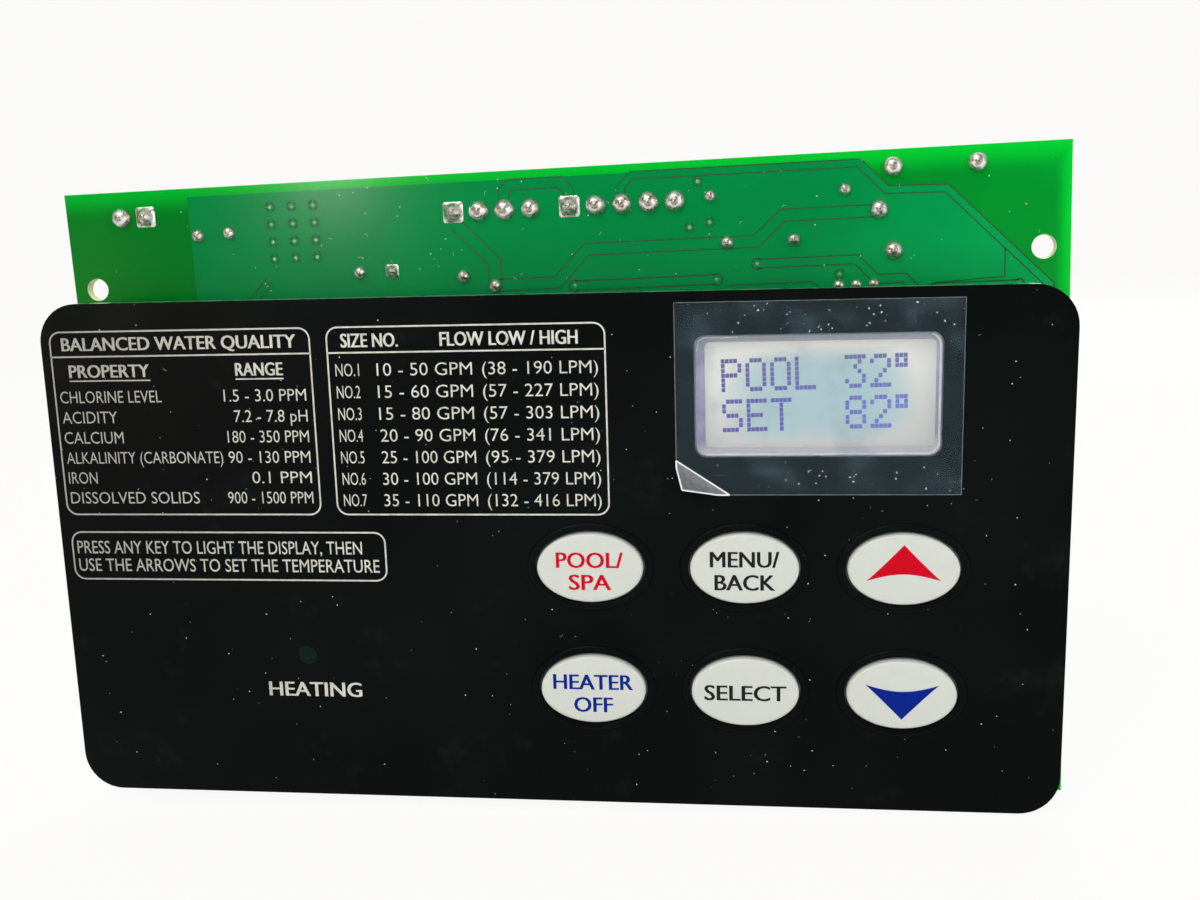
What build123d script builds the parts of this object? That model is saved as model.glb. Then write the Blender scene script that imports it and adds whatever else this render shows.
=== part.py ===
from build123d import *
import math
import os

# Control panel of a gas pool heater: a printed circuit board that carries a keypad plate on four
# hexagonal standoffs, with a two-line display, six keys and a status light between the two.
# X runs to the right, Z up, and the front faces -Y. The origin is the centre of the board's four
# mounting holes, on its rear face. Everything is in millimetres.
# Everything on the board keeps its place below the board's top edge: its z is measured from the
# layout line, which lies layout_from_top below that edge.
# "Height" is the distance in front of the board's front face; "depth" is the distance behind its
# rear face.

# ---- main board ----
board_width = 152.4
board_height = 98.8
board_thickness = 1.6
mount_hole_diameter = 3.5
mount_hole_from_side = 3.75
mount_hole_from_top = 14.9
mount_hole_from_bottom = 12.1
layout_from_top = 50.8

# ---- keypad: local x and z are measured from the centre of its first key ----
keypad_width = 152.4
keypad_height = 78.2
keypad_corner = 6.0
keypad_face_height = 10.0
keypad_roll = 1.24
first_key_x = 5.46
first_key_z = -8.02
first_key_from_left = 83.5
first_key_from_top = 40.6
overlay_thickness = 0.25
plate_thickness = 2.0
key_names = [["key_pool_spa", "key_menu_back", "key_up"], ["key_heater_off", "key_select", "key_down"]]
key_pitch_x = 22.86
key_pitch_z = 19.05
key_width = 15.9
key_height = 10.5
key_stand_out = 0.9
key_edge_round = 0.4
key_clearance = 0.3
key_flange_width = 1.3
key_flange_thickness = 0.95
key_stop_gap = 0.15
key_stem_radius = 2.5
key_stem_length = 0.6
key_travel = 0.35
emboss_gap = 0.45
emboss_width = 0.75
emboss_height = 0.3

# ---- window, its lens, gasket and protective film (local x and z) ----
window_width = 35.0
window_height = 17.8
window_corner = 1.7
window_x = 33.32
window_z = 25.4
lens_margin = 1.5
lens_thickness = 0.5
lens_clearance = 0.1
gasket_clearance = 0.1
gasket_wall = 1.0
film_overlap_x = 2.75
film_overlap_z = 5.1
film_shift_x = 0.03
film_shift_z = -0.4
film_thickness = 0.1
film_fold_width = 7.7
film_fold_height = 5.1
film_fold_angle = 50.0

# ---- status light (local x and z) ----
led_x = -44.78
led_z = -14.47
led_radius = 1.5
led_rim_radius = 1.85
led_rim_thickness = 0.6
led_spacer_radius = 2.2
led_spacer_height = 3.0
led_stop_gap = 0.6
led_lead_pitch = 2.54
led_lead_radius = 0.25
led_lead_tail = 1.0
led_window_radius = 1.5
led_window_depth = 2.0
led_window_clearance = 0.05

# ---- key switches ----
switch_side = 6.0
switch_body_height = 3.5
switch_cover_thickness = 0.3
switch_plunger_radius = 1.75
switch_plunger_clearance = 0.2
switch_well_floor = 1.0
switch_floor_gap = 0.2
switch_lead_x = 3.25
switch_lead_z = 2.25
switch_lead_radius = 0.3
switch_lead_shoulder = 1.2
switch_lead_tail = 1.0

# ---- display module ----
display_x = 39.9
display_z = 16.3
display_front_height = 6.8
display_board_width = 52.0
display_board_height = 31.0
display_board_top = 30.0
display_board_thickness = 1.2
display_board_gap = 1.0
bezel_width = 44.0
bezel_height = 22.0
bezel_wall = 0.4
bezel_window_width = 38.5
bezel_window_height = 19.2
bezel_front_thickness = 0.3
bezel_tab_width = 2.0
bezel_tab_from_centre = 15.0
bezel_tab_length = 1.4
bezel_tab_clearance = 0.1
glass_clearance = 0.15
glass_thickness = 0.8
polarizer_thickness = 0.3
zebra_strip_width = 1.6
backlight_gap = 0.2
header_pins_count = 14
header_pin_pitch = 2.54
header_pin_radius = 0.32
header_row_from_top = 1.4
header_strip_width = 2.5
header_strip_depth = 2.5
header_pin_tip = 1.0
header_pin_tail = 0.5
display_chip_side = 7.0
display_chip_thickness = 0.7
display_chip_from_centre = 11.0

# ---- standoffs and screws ----
standoff_x = 70.0
standoff_high_z = 25.0
standoff_low_z = -28.0
standoff_across_flats = 5.5
screw_radius = 1.45
screw_bore_clearance = 0.05
screw_hole_clearance = 0.25
screw_head_radius = 2.75
screw_head_height = 1.9
countersink_depth = 1.3
countersink_clearance = 0.05
screw_grip = 3.0
screw_socket_radius = 1.0
screw_socket_depth = 1.0
screw_cross_width = 0.6
screw_cross_length = 3.2

# ---- leads and solder ----
lead_clearance = 0.15
joint_tip_share = 0.5
joint_tip_margin = 0.1
# Each kind of solder joint is the radius of its foot and its height.
switch_joint = (0.8, 0.8)
led_joint = (0.8, 0.8)
header_joint = (0.85, 0.8)
transistor_joint = (0.85, 0.8)
capacitor_joint = (1.0, 1.0)
axial_joint = (0.95, 1.0)
relay_joint = (1.4, 1.2)
plug_joint = (1.55, 1.3)
display_joint = (0.8, 0.7)
display_joint_tip = 0.45

# ---- wire plugs' headers ----
plug_pin_pitch = 3.96
plug_pin_side = 1.14
plug_pin_length = 11.0
plug_pin_tail = 1.0
plug_row_z = 45.07
plug_first_x = -14.1
plug_group_gap = 5.94
plug_housing_depth = 3.2
plug_housing_height = 7.8
plug_wall_depth = 9.6
plug_wall_thickness = 1.2
plug_wall_shortfall = 1.0
plug_end_clearance = 0.05
power_first_x = -67.1
power_row_z = 46.8

# ---- relays ----
relay_length = 19.2
relay_width = 15.0
relay_depth = 15.2
relay_wall = 0.8
relay_base_thickness = 1.6
relay_seat = 0.3
relay_common_from_end = 2.5
relay_coil_pin_step = 2.0
relay_coil_pin_spread = 6.0
relay_contact_step = 13.9
relay_pin_radius = 0.5
relay_coil_radius = 4.6
relay_coil_length = 9.5
relay_core_radius = 1.2
relay_core_length = 13.5
relay_yoke_side = 3.0
relay_edge_round = 0.5
relay_base_clearance = 0.05
relay_pin_tail = 1.0
relay_places = [(49.2, 42.4), (-62.0, 19.0), (-62.0, 2.0)]

# ---- capacitors: centre x, centre z, can radius, can length, turn of the lead pair ----
capacitor_places = [
    (-52.3, 43.6, 5.0, 16.0, 2.0),
    (-26.8, 36.7, 4.0, 11.5, 0.0),
    (-10.7, 34.6, 4.0, 11.5, -19.0),
]
capacitor_lead_pitch = 5.1
capacitor_lead_radius = 0.3
capacitor_seal_thickness = 1.2
capacitor_seal_inset = 0.4
capacitor_rim_round = 0.5
capacitor_seat = 0.3
capacitor_lead_tail = 0.9

# ---- fuse and resistor, which lie along X on bent leads ----
fuse_x = 34.55
fuse_z = 45.5
fuse_lead_pitch = 19.6
fuse_radius = 1.9
fuse_length = 11.0
fuse_cap_radius = 2.2
fuse_cap_length = 2.8
fuse_cap_wall = 0.3
fuse_glass_wall = 0.5
resistor_x = 31.95
resistor_z = 38.6
resistor_lead_pitch = 9.8
resistor_radius = 1.2
resistor_length = 6.3
resistor_waist = 0.15
resistor_end_length = 1.6
axial_lead_radius = 0.35
axial_seat = 0.5
axial_lead_tail = 0.9

# ---- transistor ----
transistor_x = 45.8
transistor_z = 31.6
transistor_lead_pitch = 2.54
transistor_lead_radius = 0.25
transistor_radius = 2.4
transistor_flat = 1.3
transistor_body = 4.6
transistor_seat = 2.0
transistor_lead_tail = 0.8
transistor_bend_side = 0.5
transistor_bend_inset = 1.0

# ---- surface-mounted parts on the rear face ----
regulator_x = -39.4
regulator_z = 43.3
regulator_width = 10.0
regulator_body_height = 8.8
regulator_body_depth = 4.4
regulator_tab_height = 2.4
regulator_tab_thickness = 1.3
regulator_foot_length = 2.6
regulator_foot_width = 0.8
regulator_foot_thickness = 0.5
regulator_foot_pitch = 2.54
processor_x = -24.0
processor_z = -2.0
processor_length = 17.9
processor_width = 7.5
processor_depth = 2.4
processor_seat = 0.15
processor_leads = 14
processor_lead_pitch = 1.27
processor_lead_width = 0.42
processor_lead_reach = 1.4
processor_lead_thickness = 0.3
processor_lead_top = 1.3
crystal_x = -24.0
crystal_z = -10.6
crystal_length = 11.0
crystal_width = 4.6
crystal_depth = 3.5
crystal_end_flat = 0.1
dip_x = -3.0
dip_z = 10.0
dip_ways = 3
dip_pitch = 2.54
dip_end = 0.8
dip_height = 6.2
dip_depth = 3.2
dip_slot_width = 1.5
dip_slot_height = 3.6
dip_slot_depth = 1.2
dip_slider_side = 1.3
dip_slider_depth = 1.9
dip_slider_gap = 0.1
trimmer_x = 14.0
trimmer_z = 10.0
trimmer_side = 6.8
trimmer_depth = 4.6
trimmer_well_radius = 2.7
trimmer_well_depth = 1.2
trimmer_rotor_radius = 2.4
trimmer_rotor_depth = 1.4
trimmer_rotor_gap = 0.1
trimmer_slot_width = 0.6
trimmer_slot_depth = 0.6
diode_places = [(38.0, 26.0), (-41.0, 19.0), (-41.0, 2.0)]
diode_length = 4.4
diode_width = 2.6
diode_depth = 2.2
chip_rows = [(-40.0, -17.0, 6), (-6.0, -1.0, 5)]
chip_pitch = 2.6
chip_width = 1.25
chip_length = 2.0
chip_depth = 0.55

# ---- places worked out from the sizes above ----
overlay_back = keypad_face_height - overlay_thickness
plate_back = overlay_back - plate_thickness
keypad_centre_x = keypad_width / 2 - first_key_from_left
keypad_centre_z = first_key_from_top - keypad_height / 2
keypad_place = Pos(first_key_x, 0, first_key_z) * Rot(0, keypad_roll, 0)
mount_x = board_width / 2 - mount_hole_from_side
mount_z = (board_height - mount_hole_from_top - mount_hole_from_bottom) / 2
board_top = mount_z + mount_hole_from_top
layout_z = board_top - layout_from_top
standoffs = [(x, z) for x in (-standoff_x, standoff_x) for z in (standoff_low_z, standoff_high_z)]
switch_top = switch_body_height + switch_cover_thickness
plunger_low = switch_well_floor + key_travel + switch_floor_gap
key_flange_front = plate_back - key_stop_gap
key_flange_back = key_flange_front - key_flange_thickness
plunger_tip = key_flange_back - key_stem_length
bezel_front = display_front_height + bezel_front_thickness
display_board_front = display_board_gap + display_board_thickness
header_row_z = display_board_top - header_row_from_top
glass_width = bezel_width - 2 * (bezel_wall + glass_clearance)
glass_height = bezel_height - 2 * (bezel_wall + glass_clearance)
glass_back = display_front_height - polarizer_thickness - 2 * glass_thickness


def keypad_point(x, z):
    """Board x and z of a point given in the keypad's own x and z."""
    place = (keypad_place * Pos(x, 0, z)).position
    return place.X, place.Z


def block(x, z, width, height, low, high):
    """A box in front of the board, between two heights."""
    middle = -board_thickness - (low + high) / 2
    return Pos(x, middle, z) * Box(width, high - low, height)


def rear_block(x, z, width, height, low, high):
    """A box behind the board, between two depths."""
    return Pos(x, (low + high) / 2, z) * Box(width, high - low, height)


def rod(x, z, radius, low, high):
    """A round bar square to the board, between two heights; behind the board they are negative."""
    middle = -board_thickness - (low + high) / 2
    return Pos(x, middle, z) * Rot(90, 0, 0) * Cylinder(radius, high - low)


def rear_rod(x, z, radius, low, high):
    """A round bar square to the board, between two depths."""
    return Pos(x, (low + high) / 2, z) * Rot(90, 0, 0) * Cylinder(radius, high - low)


def slab(outline, x, z, low, high):
    """A flat outline in x and z, given its thickness between two heights."""
    plane = Plane.XZ.offset(board_thickness + low)
    return extrude(plane * (Pos(x, z) * outline), high - low)


def together(solids):
    """Loose solids as one node."""
    return Compound(children=[part for solid in solids for part in solid.solids()])


def keep(name, shape):
    """Write one node, moved from the layout line to its place on the board."""
    export_step(Pos(0, 0, layout_z) * shape, os.path.join("parts", name + ".step"))


def joint_cone(x, z, foot, tip, height, face, forward):
    """A solder joint's cone on a face, with its wide foot on the board."""
    turn = 90 if forward else -90
    middle = face - height / 2 if forward else face + height / 2
    return Pos(x, middle, z) * Rot(turn, 0, 0) * Cone(foot, tip, height)


# ---- leads: one list feeds the board's holes, the leads and the solder joints ----
front_joints = []
rear_joints = []
lead_holes = []
component_leads = []


def lead_through(x, z, radius, foot, height, forward=True):
    """Note a lead that passes through the board, and the joint that holds it."""
    lead_holes.append((x, z, radius + lead_clearance))
    (front_joints if forward else rear_joints).append((x, z, radius, foot, height))


def make_keys():
    """The six keys, the switches below them and the plungers that join the two."""
    bodies, covers = [], []
    opening = Ellipse(key_width / 2 + key_clearance, key_height / 2 + key_clearance)
    flange = Ellipse(key_width / 2 + key_flange_width, key_height / 2 + key_flange_width)
    for row, names in enumerate(key_names):
        for column, name in enumerate(names):
            x, z = column * key_pitch_x, -row * key_pitch_z
            cap = slab(Ellipse(key_width / 2, key_height / 2), x, z,
                       key_flange_back, keypad_face_height + key_stand_out)
            cap = fillet(cap.edges().group_by(Axis.Y)[0], key_edge_round)
            cap += slab(flange, x, z, key_flange_back, key_flange_front)
            cap += rod(x, z, key_stem_radius, plunger_tip, key_flange_front)
            keep(name, keypad_place * cap)
            sx, sz = keypad_point(x, z)
            keep(name.replace("key", "plunger"),
                 rod(sx, sz, switch_plunger_radius, plunger_low, plunger_tip))
            well = rod(sx, sz, switch_plunger_radius + switch_plunger_clearance,
                       switch_well_floor, switch_top)
            bodies.append(block(sx, sz, switch_side, switch_side, 0, switch_body_height) - well)
            covers.append(block(sx, sz, switch_side, switch_side, switch_body_height, switch_top) - well)
            for side in (-1, 1):
                for end in (-1, 1):
                    lx, lz = sx + side * switch_lead_x, sz + end * switch_lead_z
                    component_leads.append(
                        rod(lx, lz, switch_lead_radius, -board_thickness - switch_lead_tail,
                            switch_lead_shoulder)
                        - block(sx, sz, switch_side, switch_side, 0, switch_body_height))
                    lead_through(lx, lz, switch_lead_radius, *switch_joint, forward=False)
    keep("switch_bodies", together(bodies))
    keep("switch_covers", together(covers))
    return opening


def make_keypad(opening):
    """The printed film, the plate behind it, the window and the status light's window."""
    outline = RectangleRounded(keypad_width, keypad_height, keypad_corner)
    window = RectangleRounded(window_width, window_height, window_corner)
    film = slab(outline, keypad_centre_x, keypad_centre_z, overlay_back, keypad_face_height)
    plate = slab(outline, keypad_centre_x, keypad_centre_z, plate_back, overlay_back)
    inner = emboss_gap + key_clearance
    outer = inner + emboss_width
    for row in range(2):
        for column in range(3):
            x, z = column * key_pitch_x, -row * key_pitch_z
            film += slab(Ellipse(key_width / 2 + outer, key_height / 2 + outer), x, z,
                         overlay_back, keypad_face_height + emboss_height)
            film -= slab(Ellipse(key_width / 2 + inner, key_height / 2 + inner), x, z,
                         keypad_face_height, keypad_face_height + emboss_height)
            film -= slab(opening, x, z, overlay_back, keypad_face_height + emboss_height)
            plate -= slab(opening, x, z, plate_back, overlay_back)
    lens_width = window_width + 2 * lens_margin
    lens_height = window_height + 2 * lens_margin
    lens_back = overlay_back - lens_thickness
    film -= slab(window, window_x, window_z, overlay_back, keypad_face_height)
    plate -= slab(window, window_x, window_z, plate_back, overlay_back)
    plate -= slab(RectangleRounded(lens_width + 2 * lens_clearance, lens_height + 2 * lens_clearance,
                                   window_corner + lens_margin),
                  window_x, window_z, lens_back, overlay_back)
    hole = led_window_radius + led_window_clearance
    film -= rod(led_x, led_z, hole, overlay_back, keypad_face_height)
    plate -= rod(led_x, led_z, hole, plate_back, overlay_back)
    film, plate = keypad_place * film, keypad_place * plate
    for x, z in standoffs:
        plate -= rod(x, z, screw_radius + screw_hole_clearance, plate_back, overlay_back)
        plate -= joint_cone(x, z, screw_radius + countersink_clearance,
                            screw_head_radius + countersink_clearance, countersink_depth,
                            -board_thickness - overlay_back + countersink_depth, True)
    keep("graphic_overlay", film)
    keep("keypad_plate", plate)
    keep("window_lens", keypad_place * slab(
        RectangleRounded(lens_width, lens_height, window_corner + lens_margin),
        window_x, window_z, lens_back, overlay_back))
    keep("led_window", keypad_place * rod(led_x, led_z, led_window_radius,
                                          keypad_face_height - led_window_depth, keypad_face_height))
    outer_frame = RectangleRounded(window_width - 2 * gasket_clearance,
                                   window_height - 2 * gasket_clearance, window_corner)
    inner_frame = RectangleRounded(window_width - 2 * (gasket_clearance + gasket_wall),
                                   window_height - 2 * (gasket_clearance + gasket_wall),
                                   window_corner - gasket_wall / 2)
    gasket = (slab(outer_frame, window_x, window_z, bezel_front, lens_back)
              - slab(inner_frame, window_x, window_z, bezel_front, lens_back))
    keep("display_gasket", keypad_place * gasket)


def make_window_film():
    """The peel-off film over the window, with its lower left corner lifted along a fold."""
    low, high = keypad_face_height, keypad_face_height + film_thickness
    film_x, film_z = window_x + film_shift_x, window_z + film_shift_z
    half_width = window_width / 2 + film_overlap_x
    half_height = window_height / 2 + film_overlap_z
    left, right = film_x - half_width, film_x + half_width
    bottom, top = film_z - half_height, film_z + half_height
    fold_start = (left, bottom + film_fold_height)
    fold_end = (left + film_fold_width, bottom)
    flat = Polygon(fold_start, fold_end, (right, bottom), (right, top), (left, top), align=None)
    flap = Polygon(fold_start, (left, bottom), fold_end, align=None)
    front = -board_thickness - low
    hinge = Axis((fold_start[0], front, fold_start[1]),
                 (film_fold_width, 0, -film_fold_height))
    lifted = slab(flap, 0, 0, low, high).rotate(hinge, -film_fold_angle)
    keep("window_film", keypad_place * (slab(flat, 0, 0, low, high) + lifted))


def make_display():
    """The display module: board, light guide, contact strips, glass, polarizer, bezel and pins."""
    board_z = display_board_top - display_board_height / 2
    board = block(display_x, board_z, display_board_width, display_board_height,
                  display_board_gap, display_board_front)
    bezel = block(display_x, display_z, bezel_width, bezel_height, display_board_front, bezel_front)
    bezel -= block(display_x, display_z, bezel_width - 2 * bezel_wall, bezel_height - 2 * bezel_wall,
                   display_board_front, display_front_height)
    bezel -= block(display_x, display_z, bezel_window_width, bezel_window_height,
                   display_front_height, bezel_front)
    for side in (-1, 1):
        for end in (-1, 1):
            x = display_x + side * bezel_tab_from_centre
            z = display_z + end * (bezel_height - bezel_wall) / 2
            bezel += block(x, z, bezel_tab_width, bezel_wall,
                           display_board_front - bezel_tab_length, display_board_front)
            board -= block(x, z, bezel_tab_width + 2 * bezel_tab_clearance,
                           bezel_wall + 2 * bezel_tab_clearance,
                           display_board_gap, display_board_front)
    pins, strip_pins = [], []
    for number in range(header_pins_count):
        x = display_x + (number - (header_pins_count - 1) / 2) * header_pin_pitch
        z = header_row_z
        pin = rod(x, z, header_pin_radius, -board_thickness - header_strip_depth - header_pin_tail,
                  display_board_front + header_pin_tip)
        pins.append(pin)
        strip_pins.append(rear_rod(x, z, header_pin_radius, 0, header_strip_depth))
        board -= rod(x, z, header_pin_radius + lead_clearance, display_board_gap, display_board_front)
        lead_through(x, z, header_pin_radius, *header_joint)
    strip = rear_block(display_x, header_row_z, header_pins_count * header_pin_pitch,
                       header_strip_width, 0, header_strip_depth)
    for pin in strip_pins:
        strip -= pin
    keep("display_board", board)
    keep("display_bezel", bezel)
    keep("display_header", strip)
    keep("display_header_pins", together(pins))
    keep("display_polarizer", block(display_x, display_z, bezel_window_width - 2 * glass_clearance,
                                    bezel_window_height - 2 * glass_clearance,
                                    display_front_height - polarizer_thickness, display_front_height))
    keep("display_glass", together([
        block(display_x, display_z, glass_width, glass_height, low, low + glass_thickness)
        for low in (glass_back, glass_back + glass_thickness)]))
    strip_z = glass_height / 2 - zebra_strip_width / 2
    keep("contact_strips", together([
        block(display_x, display_z + end * strip_z, glass_width, zebra_strip_width,
              display_board_front, glass_back) for end in (-1, 1)]))
    keep("backlight", block(display_x, display_z, glass_width,
                            glass_height - 2 * (zebra_strip_width + backlight_gap),
                            display_board_front, glass_back))
    keep("display_chips", together([
        block(display_x + side * display_chip_from_centre, display_z, display_chip_side,
              display_chip_side, display_board_gap - display_chip_thickness, display_board_gap)
        for side in (-1, 1)]))


def make_status_light():
    """The status light on its spacer, with its leads soldered behind the board."""
    x, z = keypad_point(led_x, led_z)
    top = keypad_face_height - led_window_depth - led_stop_gap
    light = (rod(x, z, led_radius, led_spacer_height, top - led_radius)
             + Pos(x, -board_thickness - top + led_radius, z) * Sphere(led_radius)
             + rod(x, z, led_rim_radius, led_spacer_height, led_spacer_height + led_rim_thickness))
    spacer = rod(x, z, led_spacer_radius, 0, led_spacer_height)
    for side in (-1, 1):
        lead_x = x + side * led_lead_pitch / 2
        component_leads.append(rod(lead_x, z, led_lead_radius, -board_thickness - led_lead_tail,
                                   led_spacer_height))
        spacer -= rod(lead_x, z, led_lead_radius + lead_clearance, 0, led_spacer_height)
        lead_through(lead_x, z, led_lead_radius, *led_joint, forward=False)
    keep("status_light", light)
    keep("status_light_spacer", spacer)


def make_fasteners():
    """Four standoffs, their countersunk screws in the plate and pan-head screws behind the board."""
    spacers, front_screws, rear_screws = [], [], []
    bore = screw_radius + screw_bore_clearance
    hexagon = RegularPolygon(standoff_across_flats / 2, 6, major_radius=False)
    for x, z in standoffs:
        spacers.append(slab(hexagon, x, z, 0, plate_back) - rod(x, z, bore, 0, plate_back))
        head_back = overlay_back - countersink_depth
        screw = rod(x, z, screw_radius, plate_back - screw_grip, overlay_back)
        screw += joint_cone(x, z, screw_radius, screw_head_radius, countersink_depth,
                            -board_thickness - head_back, True)
        screw -= slab(RegularPolygon(screw_socket_radius, 6), x, z,
                      overlay_back - screw_socket_depth, overlay_back)
        front_screws.append(screw)
        screw = rod(x, z, screw_radius, -board_thickness, screw_grip)
        screw += rear_rod(x, z, screw_head_radius, 0, screw_head_height)
        for width, height in ((screw_cross_width, screw_cross_length),
                              (screw_cross_length, screw_cross_width)):
            screw -= rear_block(x, z, width, height, screw_head_height - screw_socket_depth,
                                screw_head_height)
        rear_screws.append(screw)
        lead_holes.append((x, z, screw_radius + screw_hole_clearance))
    keep("standoffs", together(spacers))
    keep("plate_screws", together(front_screws))
    keep("standoff_screws", together(rear_screws))


def make_plug_headers():
    """Friction-lock headers for the wire plugs: a housing with a rear wall, and square pins."""
    housings, pins = [], []
    signal_x = plug_first_x + 3 * plug_pin_pitch + plug_group_gap
    rows = [(power_first_x, power_row_z, 2), (plug_first_x, plug_row_z, 4), (signal_x, plug_row_z, 5)]
    for first, z, count in rows:
        middle = first + (count - 1) * plug_pin_pitch / 2
        length = count * plug_pin_pitch - 2 * plug_end_clearance
        housing = rear_block(middle, z, length, plug_housing_height, 0, plug_housing_depth)
        wall_z = z - plug_housing_height / 2 + plug_wall_thickness / 2
        housing += rear_block(middle, wall_z, length - 2 * plug_wall_shortfall, plug_wall_thickness,
                              plug_housing_depth, plug_wall_depth)
        for number in range(count):
            x = first + number * plug_pin_pitch
            pin = rear_block(x, z, plug_pin_side, plug_pin_side,
                             -board_thickness - plug_pin_tail, plug_pin_length)
            pins.append(pin)
            housing -= pin
            lead_holes.append((x, z, plug_pin_side * math.sqrt(0.5) + lead_clearance))
            front_joints.append((x, z, -plug_pin_side, *plug_joint))
        housings.append(housing)
    keep("plug_headers", together(housings))
    keep("plug_pins", together(pins))


def make_relays():
    """Sealed relays: a case, a base with four pins, and the coil inside."""
    cases, bases, coils = [], [], []
    for common_x, z in relay_places:
        x = common_x - relay_common_from_end + relay_length / 2
        inside_width = relay_width - 2 * relay_wall
        inside_length = relay_length - 2 * relay_wall
        case = rear_block(x, z, relay_length, relay_width, relay_seat, relay_depth)
        case = fillet(case.edges().group_by(Axis.Y)[-1], relay_edge_round)
        case -= rear_block(x, z, inside_length, inside_width, relay_seat, relay_depth - relay_wall)
        base = rear_block(x, z, inside_length - 2 * relay_base_clearance,
                          inside_width - 2 * relay_base_clearance, 0, relay_base_thickness)
        coil = Pos(x, (relay_base_thickness + relay_depth) / 2, z) * Rot(0, 90, 0) * (
            Cylinder(relay_coil_radius, relay_coil_length)
            + Cylinder(relay_core_radius, relay_core_length))
        coil += rear_block(x, z, relay_core_length, relay_yoke_side, relay_base_thickness,
                           relay_base_thickness + relay_yoke_side)
        places = [(common_x, z)]
        for side in (-1, 1):
            places.append((common_x + relay_coil_pin_step, z + side * relay_coil_pin_spread))
        places.append((common_x + relay_contact_step, z + relay_coil_pin_spread))
        for px, pz in places:
            pin = rear_rod(px, pz, relay_pin_radius, -board_thickness - relay_pin_tail,
                           relay_base_thickness / 2)
            component_leads.append(pin)
            base -= pin
            lead_through(px, pz, relay_pin_radius, *relay_joint)
        cases.append(case)
        bases.append(base)
        coils.append(coil)
    keep("relay_cases", together(cases))
    keep("relay_bases", together(bases))
    keep("relay_coils", together(coils))


def make_capacitors():
    """Electrolytic capacitors standing on the rear face."""
    cans, seals = [], []
    for x, z, radius, length, turn in capacitor_places:
        can = rear_rod(x, z, radius, capacitor_seat, length)
        can = fillet(can.edges().group_by(Axis.Y)[-1], capacitor_rim_round)
        seal = rear_rod(x, z, radius - capacitor_seal_inset, capacitor_seat,
                        capacitor_seat + capacitor_seal_thickness)
        can -= seal
        for side in (-1, 1):
            reach = side * capacitor_lead_pitch / 2
            px = x + reach * math.cos(math.radians(turn))
            pz = z + reach * math.sin(math.radians(turn))
            component_leads.append(
                rear_rod(px, pz, capacitor_lead_radius, -board_thickness - capacitor_lead_tail,
                         capacitor_seat))
            lead_through(px, pz, capacitor_lead_radius, *capacitor_joint)
        cans.append(can)
        seals.append(seal)
    keep("capacitor_cans", together(cans))
    keep("capacitor_seals", together(seals))


def axial_leads(x, z, pitch, body_length, axis_depth):
    """The two bent leads of a part that lies along X."""
    for side in (-1, 1):
        end = x + side * pitch / 2
        start = x + side * body_length / 2
        run = Pos((start + end) / 2, axis_depth, z) * Rot(0, 90, 0) * Cylinder(
            axial_lead_radius, abs(end - start))
        component_leads.append(
            run + rear_rod(end, z, axial_lead_radius, -board_thickness - axial_lead_tail, axis_depth)
            + Pos(end, axis_depth, z) * Sphere(axial_lead_radius))
        lead_through(end, z, axial_lead_radius, *axial_joint)


def make_axial_parts():
    """The glass fuse and the resistor."""
    fuse_depth = axial_seat + fuse_cap_radius
    across = Pos(fuse_x, fuse_depth, fuse_z) * Rot(0, 90, 0)
    tube = across * (Cylinder(fuse_radius, fuse_length)
                     - Cylinder(fuse_radius - fuse_glass_wall, fuse_length))
    caps = []
    for side in (-1, 1):
        cap_x = fuse_x + side * (fuse_length / 2 + fuse_cap_wall - fuse_cap_length / 2)
        cap = Pos(cap_x, fuse_depth, fuse_z) * Rot(0, 90, 0) * Cylinder(fuse_cap_radius, fuse_cap_length)
        caps.append(cap - across * Cylinder(fuse_radius, fuse_length))
    resistor_depth = axial_seat + resistor_radius
    end_centre = (resistor_length - resistor_end_length) / 2
    resistor = Pos(resistor_x, resistor_depth, resistor_z) * Rot(0, 90, 0) * (
        Cylinder(resistor_radius - resistor_waist, resistor_length)
        + Pos(0, 0, end_centre) * Cylinder(resistor_radius, resistor_end_length)
        + Pos(0, 0, -end_centre) * Cylinder(resistor_radius, resistor_end_length))
    axial_leads(fuse_x, fuse_z, fuse_lead_pitch, fuse_length + 2 * fuse_cap_wall, fuse_depth)
    axial_leads(resistor_x, resistor_z, resistor_lead_pitch, resistor_length, resistor_depth)
    keep("fuse_glass", tube)
    keep("fuse_caps", together(caps))
    return resistor


def make_transistor():
    """A small half-round transistor on three leads."""
    body = rear_rod(transistor_x, transistor_z, transistor_radius, transistor_seat,
                    transistor_seat + transistor_body)
    body -= rear_block(transistor_x, transistor_z - transistor_flat - transistor_radius,
                       3 * transistor_radius, 2 * transistor_radius, transistor_seat,
                       transistor_seat + transistor_body)
    for number in (-1, 0, 1):
        x = transistor_x + number * transistor_lead_pitch
        top = transistor_seat if number == 0 else transistor_seat - transistor_bend_side
        lead = rear_rod(x, transistor_z, transistor_lead_radius,
                        -board_thickness - transistor_lead_tail, top)
        if number:
            inward = transistor_x + number * (transistor_radius - transistor_bend_inset)
            low = top - transistor_bend_side
            lead += rear_block((x + inward) / 2, transistor_z, abs(x - inward) + transistor_bend_side,
                               transistor_bend_side, low, top)
            lead += rear_block(inward, transistor_z, transistor_bend_side, transistor_bend_side,
                               low, transistor_seat)
        component_leads.append(lead)
        lead_through(x, transistor_z, transistor_lead_radius, *transistor_joint)
    keep("transistor", body)


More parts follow.
